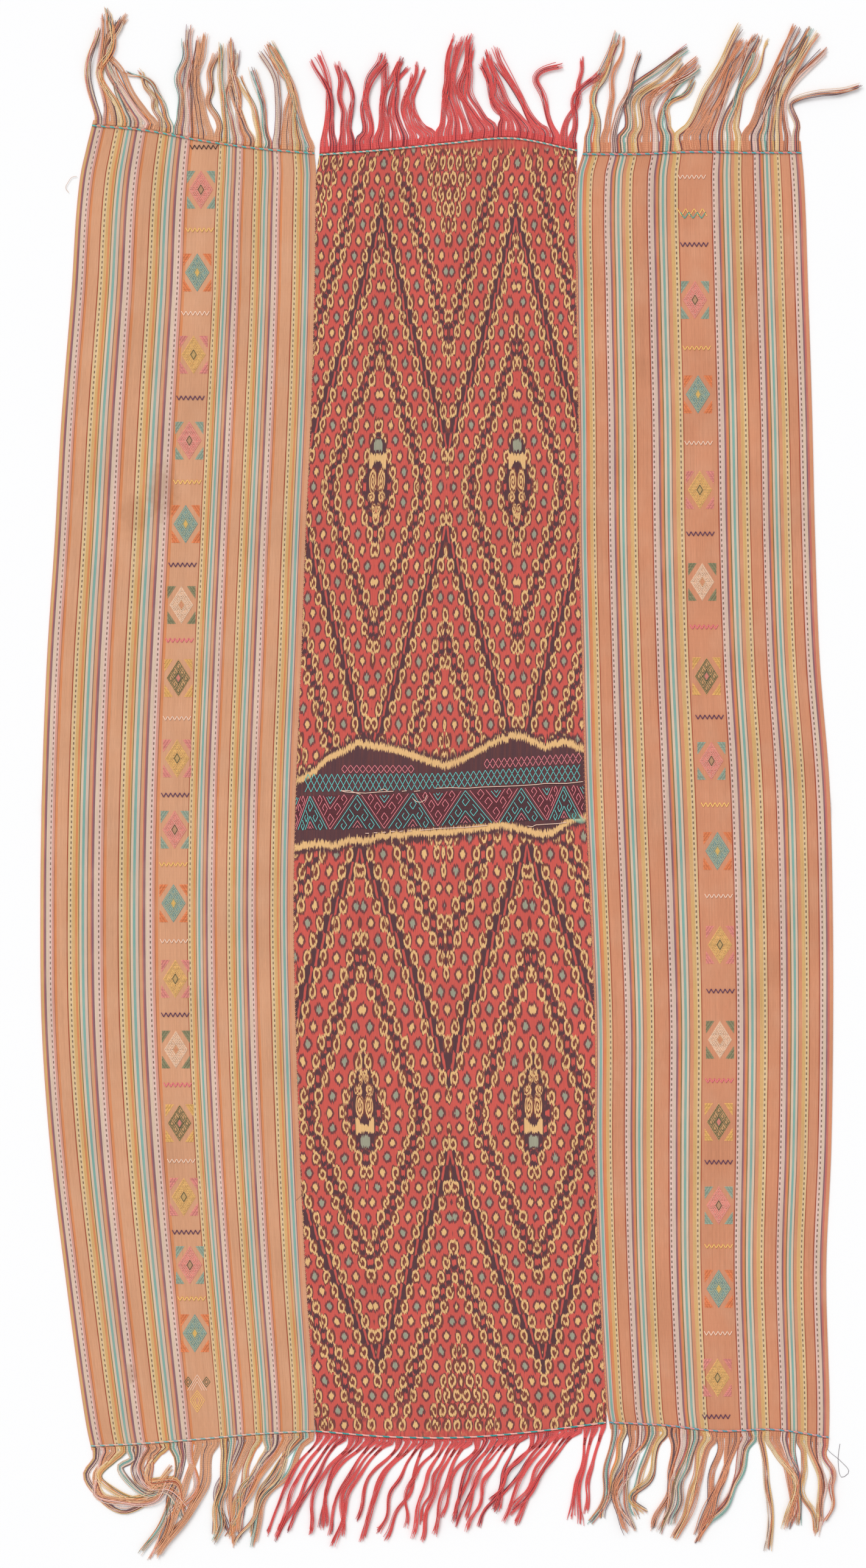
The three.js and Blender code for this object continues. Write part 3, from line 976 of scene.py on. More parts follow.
def add_yarn(making, path, radii, dye, sides=4):
    """A round yarn along a path of points in millimetres, closed at both ends."""
    path = np.asarray(path, float)
    count = len(path)
    heading = unit(np.gradient(path, axis=0))
    across = unit(np.cross(heading, (0, 0, 1.0)))
    up = np.cross(across, heading)
    turns = (np.arange(sides) * 2 * math.pi / sides + math.pi / sides)[:, None]
    radii = np.broadcast_to(radii, (count,))[:, None, None]
    ring = across[:, None] * np.cos(turns) + up[:, None] * np.sin(turns)
    points = (path[:, None] + ring * radii).reshape(-1, 3)
    number = np.arange(count * sides).reshape(count, sides)
    beside = np.roll(number, -1, axis=1)
    wall = np.stack([number[:-1], beside[:-1], beside[1:], number[1:]], axis=-1).reshape(-1, 4)
    run = running_length(path)
    share = np.arange(sides + 1) / sides
    u = np.stack([run[:-1], run[:-1], run[1:], run[1:]], axis=-1)[:, None]
    v = np.stack([share[:-1], share[1:], share[1:], share[:-1]], axis=-1)
    ply = np.stack(np.broadcast_arrays(u, v), axis=-1).reshape(-1, 4, 2)
    first, last = number[0], number[-1]
    if sides == 4:
        ends = np.array([first[::-1], last])
    else:
        ends = np.array([[first[3], first[2], first[1], first[0]],
                         [first[0], first[5], first[4], first[3]],
                         [last[0], last[1], last[2], last[3]],
                         [last[3], last[4], last[5], last[0]]])
    faces = np.concatenate([wall, ends])
    ply = np.concatenate([ply, np.zeros((len(ends), 4, 2))])
    making.add(in_frame(*points.T), faces, dye, Ply=ply)


def spun_cotton(name):
    """Loose-spun yarn in its own dye, with the slant of its twist, and painted shade that darkens
    the twist's grooves.
    """
    material, tree, shader = plain_material(name, 0.92)
    run, turn = map_parts(tree, "Ply")
    twist = ((run / TWIST_LENGTH + turn) * (2 * math.pi)).step("SINE")
    place = new_node(tree, "TexCoord").outputs["Object"]
    fuzz = Measure(tree, smooth_noise(tree, place, 900))
    # Painted shade: the twist term darkens the grooves and lightens the crests of the twist relief;
    # the fuzz adds random tone.
    shade = twist * 0.07 + fuzz * 0.3 + 0.85
    colour = dye_of(tree).outputs["Color"]
    finish_surface(tree, shader, colour, shade, twist * 0.5 + fuzz, 0.4, 0.0005)
    shader.inputs["Sheen Weight"].default_value = 0.1
    return material


def cloth_top(x, y):
    return underside(x, y) + CLOTH_THICKNESS


def lay_thread(making, points, dye, radius, lift=0.12, pitch=9.0):
    """A thread that lies on the cloth, one straight piece of yarn from point to point."""
    for low, high in zip(np.asarray(points[:-1], float), np.asarray(points[1:], float)):
        steps = max(1, math.ceil(np.linalg.norm(high - low) / pitch))
        run = low + (high - low) * np.linspace(0, 1, steps + 1)[:, None]
        lifted = np.column_stack([run, cloth_top(run[:, 0], run[:, 1]) + lift])
        add_yarn(making, lifted, radius, (*linear(dye), 0.0))


seam_thread = spun_cotton("seam_thread")
sewn_pieces = {}
for seam, dye in SEAM_DYES.items():
    seam_making = Making()
    open_line = edge_lines[seam.replace("seam", "open")]
    for y in np.arange(*SEAM_ENDS, SEAM_PITCH):
        if open_line(y) < 0.6:
            x = float(edge_lines[seam](y))
            stitch = [(x - SEAM_REACH, y - SEAM_RISE), (x + SEAM_REACH, y + SEAM_RISE)]
            lay_thread(seam_making, stitch, dye, 0.34)
    seam_slot = CLOTH_SLOTS[seam.removesuffix("_seam")]
    sewn_pieces[seam] = seam_making.finish(f"stitches_{seam}", seam_thread, seam_slot)

# The embroidered bands
# One plain band of each striped panel carries lozenges in extra weft, a short float for every
# pick, in five colourings that take turns, with corner pieces round them and zigzags between.

FLOAT_PITCH = 0.95
LOZENGE_HALF = (20, 31.5)
CORNER_LEGS = (14, 21)
CORNER_PLACE = (23, 31)
FRET_ARM = 0.17
HEART_HALF = (3.2, 6)
HEART_RIM = [(-3.8, 0), (0, 6.6), (3.8, 0), (0, -6.6), (-3.8, 0)]
# Ground, fret, heart, the heart's rim and corner dyes of each colouring
LOZENGE_DYES = {
    "pink": ((238, 150, 140), (226, 166, 146), (206, 160, 126), (104, 92, 70), (158, 180, 162)),
    "teal": ((132, 170, 166), (186, 186, 156), (240, 194, 112), (166, 168, 132), (240, 142, 92)),
    "gold": ((240, 194, 120), (216, 172, 118), (216, 176, 116), (100, 96, 74), (234, 150, 142)),
    "cream": ((236, 196, 164), (240, 210, 184), (230, 160, 122), (222, 172, 130), (144, 146, 114)),
    "green": ((216, 170, 122), (92, 102, 76), (234, 146, 130), (96, 104, 78), (240, 190, 114)),
}
ZIGZAG_DYES = {
    "plum": (96, 62, 92), "gold": (246, 200, 118), "cream": (244, 212, 190),
    "pink": (236, 124, 138), "dark": (84, 62, 62), "teal": (90, 176, 160),
}
EYE_DYE = (98, 104, 78)
# Middle of each figure as column and row of the photograph, and its colouring
LOZENGES = {
    "left": [
        (330, 312, "pink"), (324, 448, "teal"), (318, 583, "gold"), (311, 724, "pink"),
        (305, 861, "teal"), (298, 994, "cream"), (293, 1114, "green"), (291, 1246, "gold"),
        (287, 1363, "pink"), (285, 1484, "teal"), (288, 1608, "gold"), (289, 1724, "cream"),
        (295, 1845, "green"), (302, 1966, "gold"), (312, 2078, "pink"), (320, 2190, "teal"),
    ],
    "right": [
        (1141, 493, "pink"), (1146, 648, "teal"), (1149, 805, "gold"), (1153, 956, "cream"),
        (1160, 1111, "green"), (1168, 1250, "pink"), (1178, 1398, "teal"), (1182, 1552, "gold"),
        (1182, 1708, "cream"), (1180, 1843, "green"), (1180, 1980, "pink"), (1180, 2117, "teal"),
        (1178, 2263, "gold"),
    ],
}
ZIGZAGS = {
    "left": [
        (335, 242, "dark"), (328, 378, "gold"), (321, 515, "cream"), (313, 654, "plum"),
        (308, 792, "gold"), (300, 928, "plum"), (295, 1052, "pink"), (291, 1180, "cream"),
        (288, 1306, "plum"), (285, 1420, "gold"), (286, 1546, "cream"), (288, 1667, "plum"),
        (292, 1782, "pink"), (298, 1907, "cream"), (306, 2024, "plum"), (315, 2133, "gold"),
    ],
    "right": [
        (1136, 291, "cream"), (1140, 402, "plum"), (1144, 572, "gold"), (1147, 728, "cream"),
        (1150, 877, "plum"), (1156, 1030, "pink"), (1165, 1178, "plum"), (1174, 1322, "gold"),
        (1180, 1472, "cream"), (1183, 1628, "plum"), (1181, 1775, "pink"), (1180, 1909, "plum"),
        (1180, 2047, "gold"), (1179, 2190, "cream"), (1176, 2327, "plum"),
    ],
}


def lay_floats(making, spans, dye, draw):
    """Floats of weft side by side: each span is a height and the two ends across."""
    for y, low, high in spans:
        if high - low > 0.6:
            shade = draw.uniform(0.93, 1.06)
            lay_thread(making, [(low, y), (high, y)], np.asarray(dye) * shade, 0.47, 0.02, 40)


def lozenge(making, column, row, colouring, draw):
    """One embroidered lozenge, its fret, its heart and its four corner pieces."""
    ground, fret, heart, rim_dye, corner = LOZENGE_DYES[colouring]
    middle_x, middle_y = across_mm(column), along_mm(row)
    half_x, half_y = np.array(LOZENGE_HALF) * STEP
    heights = np.arange(-half_y + 0.5, half_y, FLOAT_PITCH)
    widths = half_x * (1 - np.abs(heights) / half_y)
    spans = [(middle_y + h, middle_x - w, middle_x + w) for h, w in zip(heights, widths)]
    lay_floats(making, spans, ground, draw)

    def on_lozenge(s, t):
        return middle_x + (s + t) / 2 * half_x, middle_y + (s - t) / 2 * half_y

    fret_lines = [[(-0.9, -0.9), (-0.9, 0.9), (0.9, 0.9), (0.9, -0.9), (-0.9, -0.9)]]
    for cut in (-0.33, 0.33):
        fret_lines.append([(cut, -0.9), (cut, 0.9)])
        fret_lines.append([(-0.9, cut), (0.9, cut)])
    cells, arm = (-0.62, 0, 0.62), FRET_ARM
    for s, t in ((s, t) for s in cells for t in cells if s or t):
        fret_lines.append([(s + arm, t - arm), (s - arm, t - arm), (s - arm, t + arm),
                           (s + arm * 0.6, t + arm), (s + arm * 0.6, t - arm * 0.2)])
    for fret_line in fret_lines:
        lay_thread(making, [on_lozenge(s, t) for s, t in fret_line], fret, 0.5, 0.5, 20)
    for h in np.arange(-5.4, 5.5, FLOAT_PITCH):
        w = HEART_HALF[0] * (1 - abs(h) / HEART_HALF[1])
        heart_float = [(middle_x - w, middle_y + h), (middle_x + w, middle_y + h)]
        lay_thread(making, heart_float, heart, 0.5, 0.6)
    rim = [(middle_x + x, middle_y + y) for x, y in HEART_RIM]
    lay_thread(making, rim, rim_dye, 0.6, 0.7, 20)
    leg_x, leg_y = np.array(CORNER_LEGS) * STEP
    place_x, place_y = np.array(CORNER_PLACE) * STEP
    for way_x in (-1, 1):
        for way_y in (-1, 1):
            for part in np.arange(0.5, leg_y, FLOAT_PITCH):
                y = middle_y + way_y * (place_y - part)
                outer = middle_x + way_x * place_x
                inner = outer - way_x * leg_x * (1 - part / leg_y)
                lay_floats(making, [(y, min(outer, inner), max(outer, inner))], corner, draw)
            for cut in (0.35, 0.7):
                line = [(middle_x + way_x * (place_x - leg_x * cut), middle_y + way_y * place_y),
                        (middle_x + way_x * place_x, middle_y + way_y * (place_y - leg_y * cut))]
                lay_thread(making, line, np.asarray(corner) * 0.84, 0.4, 0.45, 20)


def zigzag(making, column, row, dye, half_length=23, height=3.4, pitch=3.8):
    """A short zigzag across the band."""
    points = [
        (column - half_length + index * pitch, row + (height if index % 2 else -height))
        for index in range(round(2 * half_length / pitch) + 1)
    ]
    lay_thread(making, on_cloth(points), dye, 0.75, 0.5, 20)


embroidery_thread = spun_cotton("embroidery_thread")
for side in ("left", "right"):
    embroidery = Making()
    embroidery_draw = np.random.default_rng(3)
    for column, row, colouring in LOZENGES[side]:
        lozenge(embroidery, column, row, colouring, embroidery_draw)
    for column, row, dye in ZIGZAGS[side]:
        zigzag(embroidery, column, row, ZIGZAG_DYES[dye])
    if side == "right":
        zigzag(embroidery, 1136, 349, ZIGZAG_DYES["gold"], 24, 6, 6.9)
        zigzag(embroidery, 1138, 354, ZIGZAG_DYES["teal"], 21, 5, 6.9)
    else:
        last = 324
        for offset in (0, 4, 8):
            arch = [(last - 16 + offset, 2284), (last, 2258 + offset * 1.4),
                    (last + 16 - offset, 2284)]
            lay_thread(embroidery, on_cloth(arch), ZIGZAG_DYES["cream"], 0.5)
            foot = [(last - 12 + offset, 2300), (last, 2284 + offset), (last + 12 - offset, 2300),
                    (last, 2320 - offset), (last - 12 + offset, 2300)]
            lay_thread(embroidery, on_cloth(foot), ZIGZAG_DYES["gold"], 0.5)
        for eye_x in (last - 15, last + 15):
            for size in (3, 6):
                eye = [(eye_x - size, 2270), (eye_x, 2270 - size * 1.4), (eye_x + size, 2270),
                       (eye_x, 2270 + size * 1.4), (eye_x - size, 2270)]
                lay_thread(embroidery, on_cloth(eye), EYE_DYE, 0.5)
    sewn_pieces[f"embroidery_{side}"] = embroidery.finish(
        f"embroidery_{side}", embroidery_thread, CLOTH_SLOTS[side])

# The brocade on the plain middle
# Three lattices and a row of interlocking triangles in rose and sea-green cotton lie on the
# dark middle, between lines of cream stitching that have worked loose in places.

BROCADE_ROSE = (236, 138, 146)
BROCADE_GREEN = (112, 206, 200)
ROSE_SHADE = (104, 54, 60)
GREEN_SHADE = (84, 60, 64)
CREAM_THREAD = (232, 196, 178)
TRIANGLE_TOPS = [467, 509, 587, 678, 764, 856, 926, 990]
TRIANGLE_FEET = [486, 542, 631, 719, 815, 898, 958]
BAND_EDGES = (486, 957)


def read_line(points):
    """A line through columns and rows of the photograph, read as the row at a column."""
    columns, rows = zip(*points)
    return lambda column: np.interp(column, columns, rows)


key_top = read_line([(484, 1307), (671, 1302), (767, 1297), (955, 1289)])
key_foot = read_line([(484, 1365), (671, 1362), (767, 1355), (955, 1346)])


def brocade_line(making, columns_rows, dye, radius, lift):
    """A thread through columns and rows of the photograph, kept within the band."""
    run = []
    for column, row in columns_rows:
        inside = BAND_EDGES[0] - 1 <= column <= BAND_EDGES[1] + 1
        if inside:
            run.append((column, row))
        if (not inside or (column, row) == columns_rows[-1]) and len(run) > 1:
            lay_thread(making, on_cloth(run), dye, radius, lift, 14)
        if not inside:
            run = []


def lattice(making, start, end, pitch, top, foot, reach, dye):
    """Threads that slant both ways from top to foot, so that they cross in small lozenges."""
    shares = np.linspace(0, 1, round(2 * reach) + 1)
    for peak in np.arange(start - 1.5 * pitch, end + 2 * pitch, pitch):
        for way in (-1, 1):
            columns = peak + way * reach * pitch * shares
            rows = top(columns) + (foot(columns) - top(columns)) * shares
            kept = (columns > start - 0.1) & (columns < end + 0.1)
            if kept.sum() > 1:
                brocade_line(making, list(zip(columns[kept], rows[kept])), dye, 0.56, 0.3)


def triangle(making, point, left, right, upright, dye, shade, inner_dye):
    """A key-pattern triangle with its point at the top or the foot of the row."""
    def place(across, down):
        reach = (right - point) if across > 0 else (point - left)
        column = point + across * reach * 0.85
        share = down if upright else 1 - down
        share = 0.03 + share * 0.94
        return column, key_top(column) + (key_foot(column) - key_top(column)) * share

    def on_arms(points):
        return [place(t - s, s + t) for s, t in points]

    for down in np.arange(0.04, 1.0, 0.028):
        row = [place(across, down) for across in (-down, 0.0, down)]
        brocade_line(making, row, shade, 0.62, -0.2)
    lines = [[(0, 1), (0, 0), (1, 0)], [(0.3, 0.7), (0.3, 0.3), (0.7, 0.3)]]
    cells = [(0.15, 0.15, 0.08), (0.15, 0.46, 0.08), (0.46, 0.15, 0.08), (0.14, 0.74, 0.07),
             (0.74, 0.14, 0.07)]
    for s, t, size in cells:
        lines.append([(s - size, t - size * 1.4), (s - size, t + size), (s + size, t + size),
                      (s + size, t - size * 0.6), (s, t - size * 0.6)])
    for line in lines:
        brocade_line(making, on_arms(line), dye, 0.56, 0.35)
    inner = [[(0.38, 0.58), (0.38, 0.38), (0.58, 0.38)], [(0.45, 0.53), (0.45, 0.45), (0.53, 0.45)]]
    for line in inner:
        brocade_line(making, on_arms(line), inner_dye, 0.54, 0.4)


# Start, end, pitch, top line, foot line, how many pitches a thread slants over, and dye
LATTICES = [
    (561, 679.8, 9.9, [(560, 1257), (680, 1257)], [(560, 1270), (680, 1270)], 1, BROCADE_ROSE),
    (795, 955, 9.4, [(795, 1247), (955, 1237)], [(795, 1263), (955, 1254)], 1, BROCADE_ROSE),
    (501, 956, 9.7, [(501, 1272), (722, 1270), (895, 1259), (955, 1256)],
     [(501, 1301), (678, 1298), (831, 1289), (955, 1283)], 1.5, BROCADE_GREEN),
]
brocade = Making()
for start, end, pitch, top_line, foot_line, reach, dye in LATTICES:
    lattice(brocade, start, end, pitch, read_line(top_line), read_line(foot_line), reach, dye)
for before, top, after in zip(TRIANGLE_FEET, TRIANGLE_TOPS[1:], TRIANGLE_FEET[1:]):
    triangle(brocade, top, before, after, True, BROCADE_GREEN, GREEN_SHADE, BROCADE_ROSE)
for before, foot, after in zip(TRIANGLE_TOPS, TRIANGLE_FEET, TRIANGLE_TOPS[1:]):
    triangle(brocade, foot, before, after, False, BROCADE_ROSE, ROSE_SHADE, BROCADE_GREEN)
CREAM_RUNS = [
    [(560, 1299), (567, 1301), (580, 1302), (600, 1303), (622, 1301), (646, 1300)],
    [(560, 1299), (574, 1299), (592, 1305)], [(636, 1299), (630, 1296), (622, 1299)],
    [(660, 1300), (668, 1299)], [(680, 1300), (690, 1299)],
    [(716, 1295), (740, 1294), (767, 1295), (790, 1293), (847, 1291), (880, 1289), (895, 1287),
     (930, 1287), (957, 1284)],
    [(678, 1312), (684, 1317), (691, 1318), (698, 1314), (701, 1306)],
    [(600, 1369), (606, 1369)], [(614, 1368), (620, 1368)], [(628, 1368), (634, 1367)],
    [(642, 1366), (648, 1366)], [(656, 1366), (662, 1365)], [(670, 1365), (676, 1365)],
    [(690, 1364), (720, 1361), (767, 1359), (800, 1356)],
    [(866, 1357), (874, 1358), (880, 1355), (915, 1353), (930, 1351)],
]
for cream_run in CREAM_RUNS:
    brocade_line(brocade, cream_run, CREAM_THREAD, 0.7, 0.9)
sewn_pieces["brocade"] = brocade.finish("brocade", embroidery_thread, "cotton_ikat")

# The twined end lines
# Past the last pick of each loom width, two wefts of different colours are twined round each
# other across the warp, so that they show by turns as a line of dashes.

TWINE_RADIUS = 1.05
TWINE_SWING = 1.1
TWINE_LIFT = 0.7
# Length of a dash and the two dyes of each line
TWINES = {
    ("left", "top"): (6.2, (84, 184, 180), (226, 144, 128)),
    ("centre", "top"): (4.6, (96, 186, 180), (244, 190, 178)),
    ("right", "top"): (6.2, (80, 176, 184), (226, 140, 140)),
    ("left", "bottom"): (6.4, (128, 180, 178), (232, 184, 168)),
    ("centre", "bottom"): (9.4, (52, 160, 158), (246, 180, 172)),
    ("right", "bottom"): (6.6, (92, 160, 176), (228, 150, 146)),
}
for (side, end), (dash_length, first_dye, second_dye) in TWINES.items():
    twine_panel = PANELS[side]
    count = round(twine_panel["width"] / dash_length * 8)
    shares = np.linspace(0.002, 0.998, count)
    y = twined_line(twine_panel, end)(shares)
    x = across_panel(twine_panel, shares, y)
    turn = running_length(np.column_stack([x, y])) / dash_length * math.pi
    twine = Making()
    for dye, phase in ((first_dye, 0), (second_dye, math.pi)):
        strand_z = cloth_top(x, y) + TWINE_LIFT + TWINE_SWING * np.sin(turn + phase)
        strand_y = y + 0.2 * np.cos(turn + phase)
        strand = np.column_stack([x, strand_y, strand_z])
        add_yarn(twine, strand, TWINE_RADIUS, (*linear(dye), 0.0), sides=6)
    sewn_pieces[side, end] = twine.finish(
        f"twined_line_{end}_{side}", embroidery_thread, YARN_SLOTS[side])

# The fringes
# The warp yarns run on past each end. They start as a narrow band of cloth, part into locks of
# fine yarns in their own stripe's colours, and lie as they fell, gathered in loose clumps.

# Width of a lock once it has parted from its neighbours
LOCK_WIDTHS = {
    ("left", "top"): 10.0, ("centre", "top"): 8.2, ("right", "top"): 10.0,
    ("left", "bottom"): 9.6, ("centre", "bottom"): 5.0, ("right", "bottom"): 9.4,
}
BAND_LIFT = 0.15
BAND_THICKNESS = 1.1
YARNS_IN_LOCK = 9
YARN_RADIUS = 0.6
TIP_LENGTHS = [0, -8, 4, -13, 6, -4, -10]

# Each clump from left to right: its count of locks, then the points that it passes through as
# across, along and how wide the clump is there.
CLUMPS = {
    ("left", "top"): [
        (1, [(-482, 985, 0), (-464, 1058, 0)]),
        (7, [(-452, 990, 26), (-455, 1028, 11), (-444, 1074, 26)]),
        (2, [(-383, 955, 9), (-402, 974, 6), (-421, 994, 6)]),
        (5, [(-338, 985, 30), (-333, 1050, 38)]),
        (5, [(-288, 960, 34), (-288, 1032, 26)]),
        (2, [(-246, 950, 9), (-262, 1000, 6)]),
        (5, [(-208, 980, 15), (-228, 1032, 13)]),
    ],
    ("left", "bottom"): [
        (4, [(-470, -966, 20), (-462, -990, 16), (-426, -1004, 14), (-390, -990, 13),
             (-368, -962, 12)]),
        (5, [(-414, -956, 34), (-398, -984, 20), (-364, -984, 16), (-350, -1020, 14)]),
        (6, [(-338, -975, 46), (-368, -1030, 28), (-388, -1072, 18)]),
        (5, [(-287, -985, 26), (-296, -1054, 19)]),
        (6, [(-224, -952, 42), (-254, -1006, 28), (-266, -1050, 28)]),
    ],
    ("centre", "top"): [
        (2, [(-150, 955, 13), (-158, 1020, 15)]),
        (2, [(-122, 950, 11), (-126, 1004, 8)]),
        (9, [(-60, 955, 78), (-46, 1008, 72)]),
        (7, [(34, 965, 40), (44, 1040, 30)]),
        (6, [(102, 955, 36), (76, 1018, 16)]),
        (1, [(143, 965, 0), (150, 988, 0), (184, 1003, 0)]),
        (1, [(190, 955, 0), (218, 1020, 0)]),
        (1, [(209, 952, 0), (229, 994, 0)]),
    ],
    ("centre", "bottom"): [
        (4, [(-178, -960, 26), (-219, -1048, 28)]),
        (6, [(-130, -965, 44), (-156, -1048, 50)]),
        (5, [(-62, -970, 46), (-90, -1050, 50)]),
        (5, [(-6, -970, 44), (-22, -1046, 42)]),
        (7, [(58, -965, 56), (34, -1034, 42)]),
        (7, [(134, -955, 56), (94, -1018, 36)]),
        (2, [(203, -965, 12), (194, -1032, 14)]),
        (1, [(223, -960, 0), (214, -1026, 0)]),
    ],
    ("right", "top"): [
        (2, [(235, 955, 8), (256, 1042, 9)]),
        (2, [(266, 985, 7), (278, 1036, 6)]),
        (7, [(306, 952, 48), (330, 978, 42), (358, 1006, 44)]),
        (8, [(408, 965, 50), (446, 1042, 38)]),
        (6, [(479, 965, 36), (526, 1050, 44)]),
        (1, [(513, 945, 0), (534, 966, 0), (590, 970, 0)]),
    ],
    ("right", "bottom"): [
        (2, [(247, -955, 9), (237, -990, 9), (229, -1032, 10)]),
        (5, [(284, -960, 34), (264, -1000, 24), (284, -1034, 30)]),
        (6, [(350, -970, 46), (324, -1046, 34)]),
        (5, [(406, -970, 30), (370, -1054, 16)]),
        (1, [(479, -991, 0), (474, -1064, 0)]),
        (4, [(502, -975, 20), (500, -1038, 14)]),
        (4, [(538, -975, 26), (540, -1040, 30)]),
    ],
}
FRINGE_RED = (220, 90, 88)
# Columns of the red band, and how far the clumps' own stations vary across and along
RED_COLUMNS = 60
STATION_JITTER = (5.5, 3.0)


def clump_paths(side, end):
    """Each lock's share of the width, how much of it the lock takes up, and its stations:
    across, along and the lock's width there."""
    panel = PANELS[side]
    outward = 1 if end == "top" else -1
    line = twined_line(panel, end)
    clumps = CLUMPS[side, end]
    lock_count = sum(count for count, _ in clumps)

    def root(lock):
        y = line(lock / lock_count) + outward * panel["bands"][end]
        return np.array([across_panel(panel, lock / lock_count, y), y])

    first = 0
    for count, way in clumps:
        root_width = np.linalg.norm(root(first + 1) - root(first))
        lock_width = min(LOCK_WIDTHS[side, end], root_width * 0.8)
        middle = [root(first + count / 2), *(np.array(point[:2], float) for point in way)]
        for index in range(count):
            place = index / (count - 1) - 0.5 if count > 1 else 0.0
            start = root(first + index + 0.5)
            toward = unit(middle[1] - start)
            inner = panel["bands"][end] - TWINE_MARGIN - 1
            stations = [
                (start[0], start[1] - outward * inner, root_width),
                (*(start - toward * (4 * (first + index) % 5)), root_width * 0.9),
                (*(start + toward * (7 + 5 * (first + index) % 8)), lock_width),
            ]
            for station, (_, _, spread) in enumerate(way, start=1):
                ahead = unit(middle[min(station + 1, len(way))] - middle[station - 1])
                aside = np.array([ahead[1], -ahead[0]]) * outward
                point = middle[station] + aside * spread * place
                if station == len(way):
                    point = point + ahead * TIP_LENGTHS[(first + index) % len(TIP_LENGTHS)]
                stations.append((*point, lock_width))
            yield (first + index + 0.5) / lock_count, 1 / lock_count, stations
        first += count


def wave(run, draw, quickest, least, most):
    """A wave along a yarn, with a random pace, start and height."""
    pace = draw.uniform(6, quickest)
    start = draw.uniform(0, 6)
    return np.sin(run * pace + start) * draw.uniform(least, most)


def yarn_dye(side, share, draw):
    """The dye of one fringe yarn; now and then a dark strand, painted shade for the gaps between
    the yarns of a lock.
    """
    if side == "centre":
        dye = linear(FRINGE_RED)
    else:
        dye = stripe_dye(side, np.clip(share, 0.001, 0.999))[:3]
    shade = draw.uniform(0.88, 1.14)
    # Painted shade: the few dark strands stand for the dark gaps between the yarns of a lock.
    if draw.random() < 0.09:
        dye = linear((132, 52, 62) if side == "centre" else (112, 82, 84))
    return (*(dye * shade), 0.0)


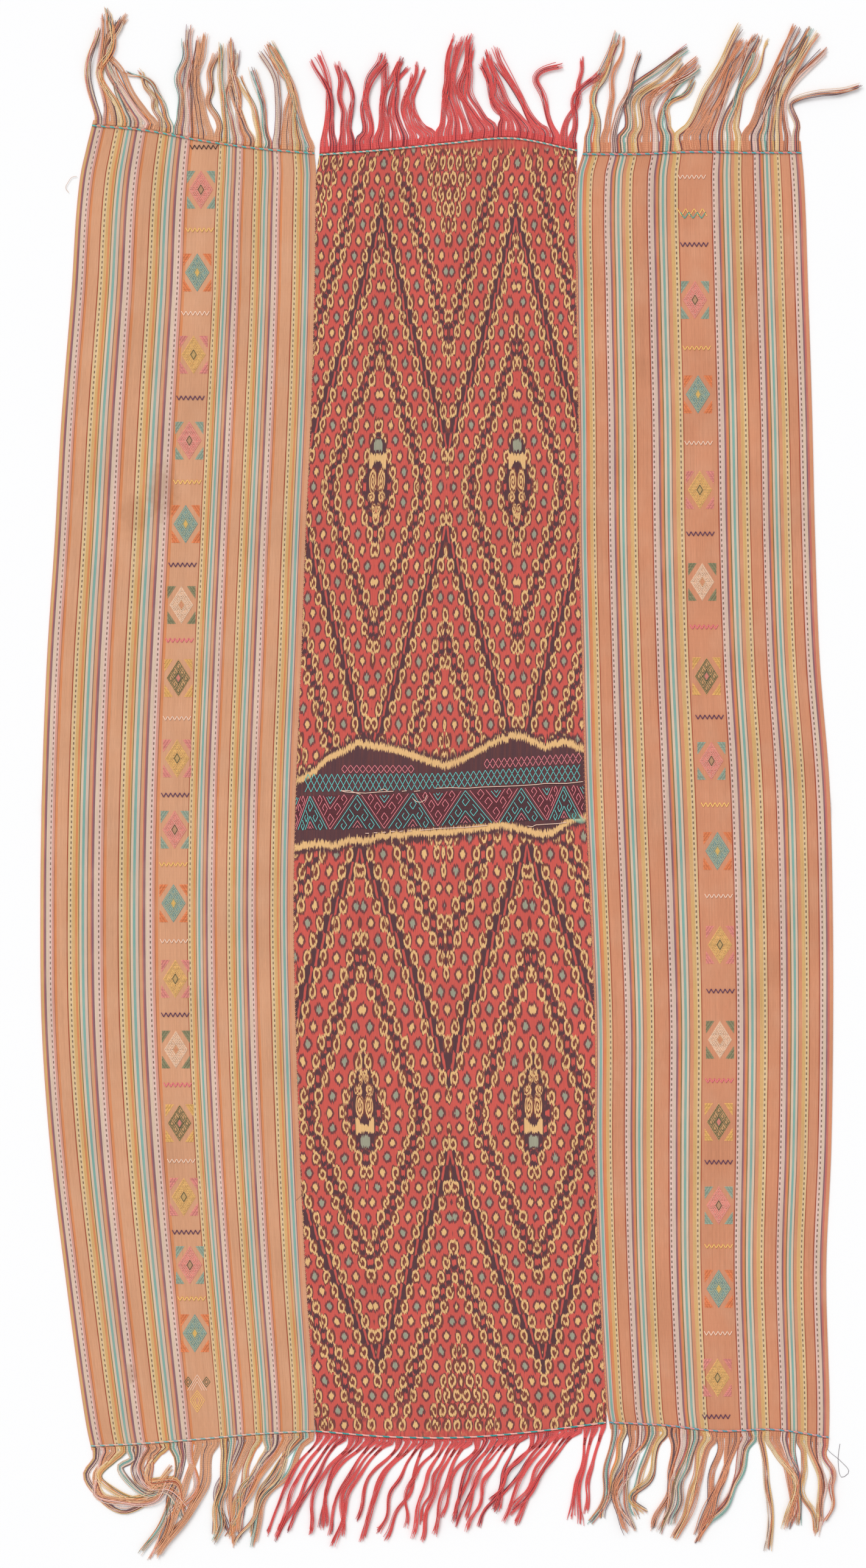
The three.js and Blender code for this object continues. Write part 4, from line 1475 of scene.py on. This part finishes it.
def fringe(side, end, draw):
    """The narrow band past an end line and the locks of yarn that part from it."""
    panel = PANELS[side]
    outward = 1 if end == "top" else -1
    making = Making()
    if side in stripes:
        shares, dyes = stripes[side]
    else:
        shares = np.linspace(0, 1, RED_COLUMNS + 1)
        dyes = np.tile((*linear(FRINGE_RED), 0.0), (RED_COLUMNS, 1))
    depth = panel["bands"][end]
    rows = np.linspace(TWINE_MARGIN + PIECE_GAP, depth * 0.62, 3)
    line = twined_line(panel, end)(shares)
    y = line + outward * rows[:, None]
    if outward < 0:
        y = y[::-1]
    x = across_panel(panel, shares, y)
    ply = np.stack([y, np.broadcast_to(shares * panel["width"] / 1.2, y.shape)], axis=-1)
    add_sheet(making, x, y, np.full(x.shape, BAND_LIFT), BAND_THICKNESS, dyes, Ply=ply)
    for share, pitch, stations in clump_paths(side, end):
        stations = np.array(stations)
        stations[3:, :2] += draw.normal(0, 1, (len(stations) - 3, 2)) * STATION_JITTER
        centre_line = bent_through(stations)
        heading = unit(np.gradient(centre_line[:, :2], axis=0))
        sideways = np.stack([heading[:, 1], -heading[:, 0]], axis=1) * outward
        run = np.linspace(0, 1, len(centre_line))
        loose = np.clip(run * 3 - 0.6, 0, 1)
        sway = wave(run, draw, 16, 0.8, 3.8) * loose
        layer = draw.uniform(0, 2.2)
        twist = draw.uniform(-3.5, 3.5)
        filled = np.maximum(YARN_RADIUS, centre_line[:, 2] / YARNS_IN_LOCK * 0.6)
        for yarn in range(YARNS_IN_LOCK):
            across = (yarn + 0.5) / YARNS_IN_LOCK - 0.5 + draw.uniform(-0.04, 0.04)
            own_share = share + across * pitch
            turn = run * loose * twist
            swing = across * (0.6 + 0.4 * np.cos(turn)) + 0.16 * np.sin(turn) * (-1) ** yarn
            wander = wave(run, draw, 15, 0.2, 1.1) * loose
            offset = swing * centre_line[:, 2] + wander + sway
            offset = offset + draw.normal(0, 1.5) * run ** 6
            ground = centre_line[:, :2] + sideways * offset[:, None]
            ground[-1] += heading[-1] * draw.uniform(-5, 5)
            roll = across * np.sin(turn) * 3.2
            lift = filled + 0.1 + loose * (layer + np.abs(roll) + draw.uniform(0, 0.5))
            lift = np.where(run < 0.12, 1.45 + filled * 0.3 - run * 4, lift)
            radii = filled * np.where(run > 0.97, 0.6, 1.0)
            path = np.column_stack([ground, lift])
            add_yarn(making, path, radii, yarn_dye(side, own_share, draw))
    piece = making.finish(f"yarn_fringe_{end}_{side}", fringe_cotton[side], YARN_SLOTS[side])
    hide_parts(f"fringe_{end}_{side}")
    return piece


fringe_cotton = {side: spun_cotton(f"spun_cotton_{side}") for side in PANELS}
fringe_draw = np.random.default_rng(7)
fringe_pieces = {key: fringe(*key, fringe_draw) for key in CLUMPS}

# Loose threads
# A few threads have pulled out of the edges and the weave, and curl on top of the cloth.

# Past this height a thread lies on the table
CLOTH_END = 890
LOOSE_THREADS = {
    "left": [
        ((198, 150, 120), 0.3, [(126, 290), (118, 292), (112, 300), (108, 309), (113, 317)]),
        ((150, 120, 104), 0.25, [(486, 1972), (497, 1962), (508, 1957), (518, 1961), (523, 1970)]),
    ],
    "right": [
        ((96, 80, 88), 0.3, [(1350, 2350), (1359, 2381), (1380, 2400), (1394, 2418), (1382, 2427),
                            (1376, 2400), (1379, 2372)]),
    ],
}
for side, threads in LOOSE_THREADS.items():
    loose_making = Making()
    for dye, radius, way in threads:
        path = bent_through(on_cloth(way))
        panel_top = cloth_top(path[:, 0], path[:, 1]) + radius
        z = np.where(np.abs(path[:, 1]) < CLOTH_END, panel_top, radius + 0.1)
        add_yarn(loose_making, np.column_stack([path, z]), radius, (*linear(dye), 0.0))
    sewn_pieces[f"loose_{side}"] = loose_making.finish(
        f"loose_threads_{side}", seam_thread, YARN_SLOTS[side])

# The cloth as a sheet
# For each loom width, its length and the pieces that go with it: the fringes at its two ends, and
# what is sewn on it.

SEWN_ON = {
    "left": ["left_seam", "embroidery_left", "loose_left"],
    "centre": ["brocade"],
    "right": ["right_seam", "embroidery_right", "loose_right"],
}
for side, piece in panel_pieces.items():
    panel = PANELS[side]
    piece_length = (np.mean(panel["top"]) - np.mean(panel["bottom"]) + 2 * TWINE_MARGIN) / 1000
    own_pieces = [pieces[side, end] for pieces in (fringe_pieces, sewn_pieces)
                  for end in ("top", "bottom")]
    own_pieces.extend(sewn_pieces[name] for name in SEWN_ON[side])
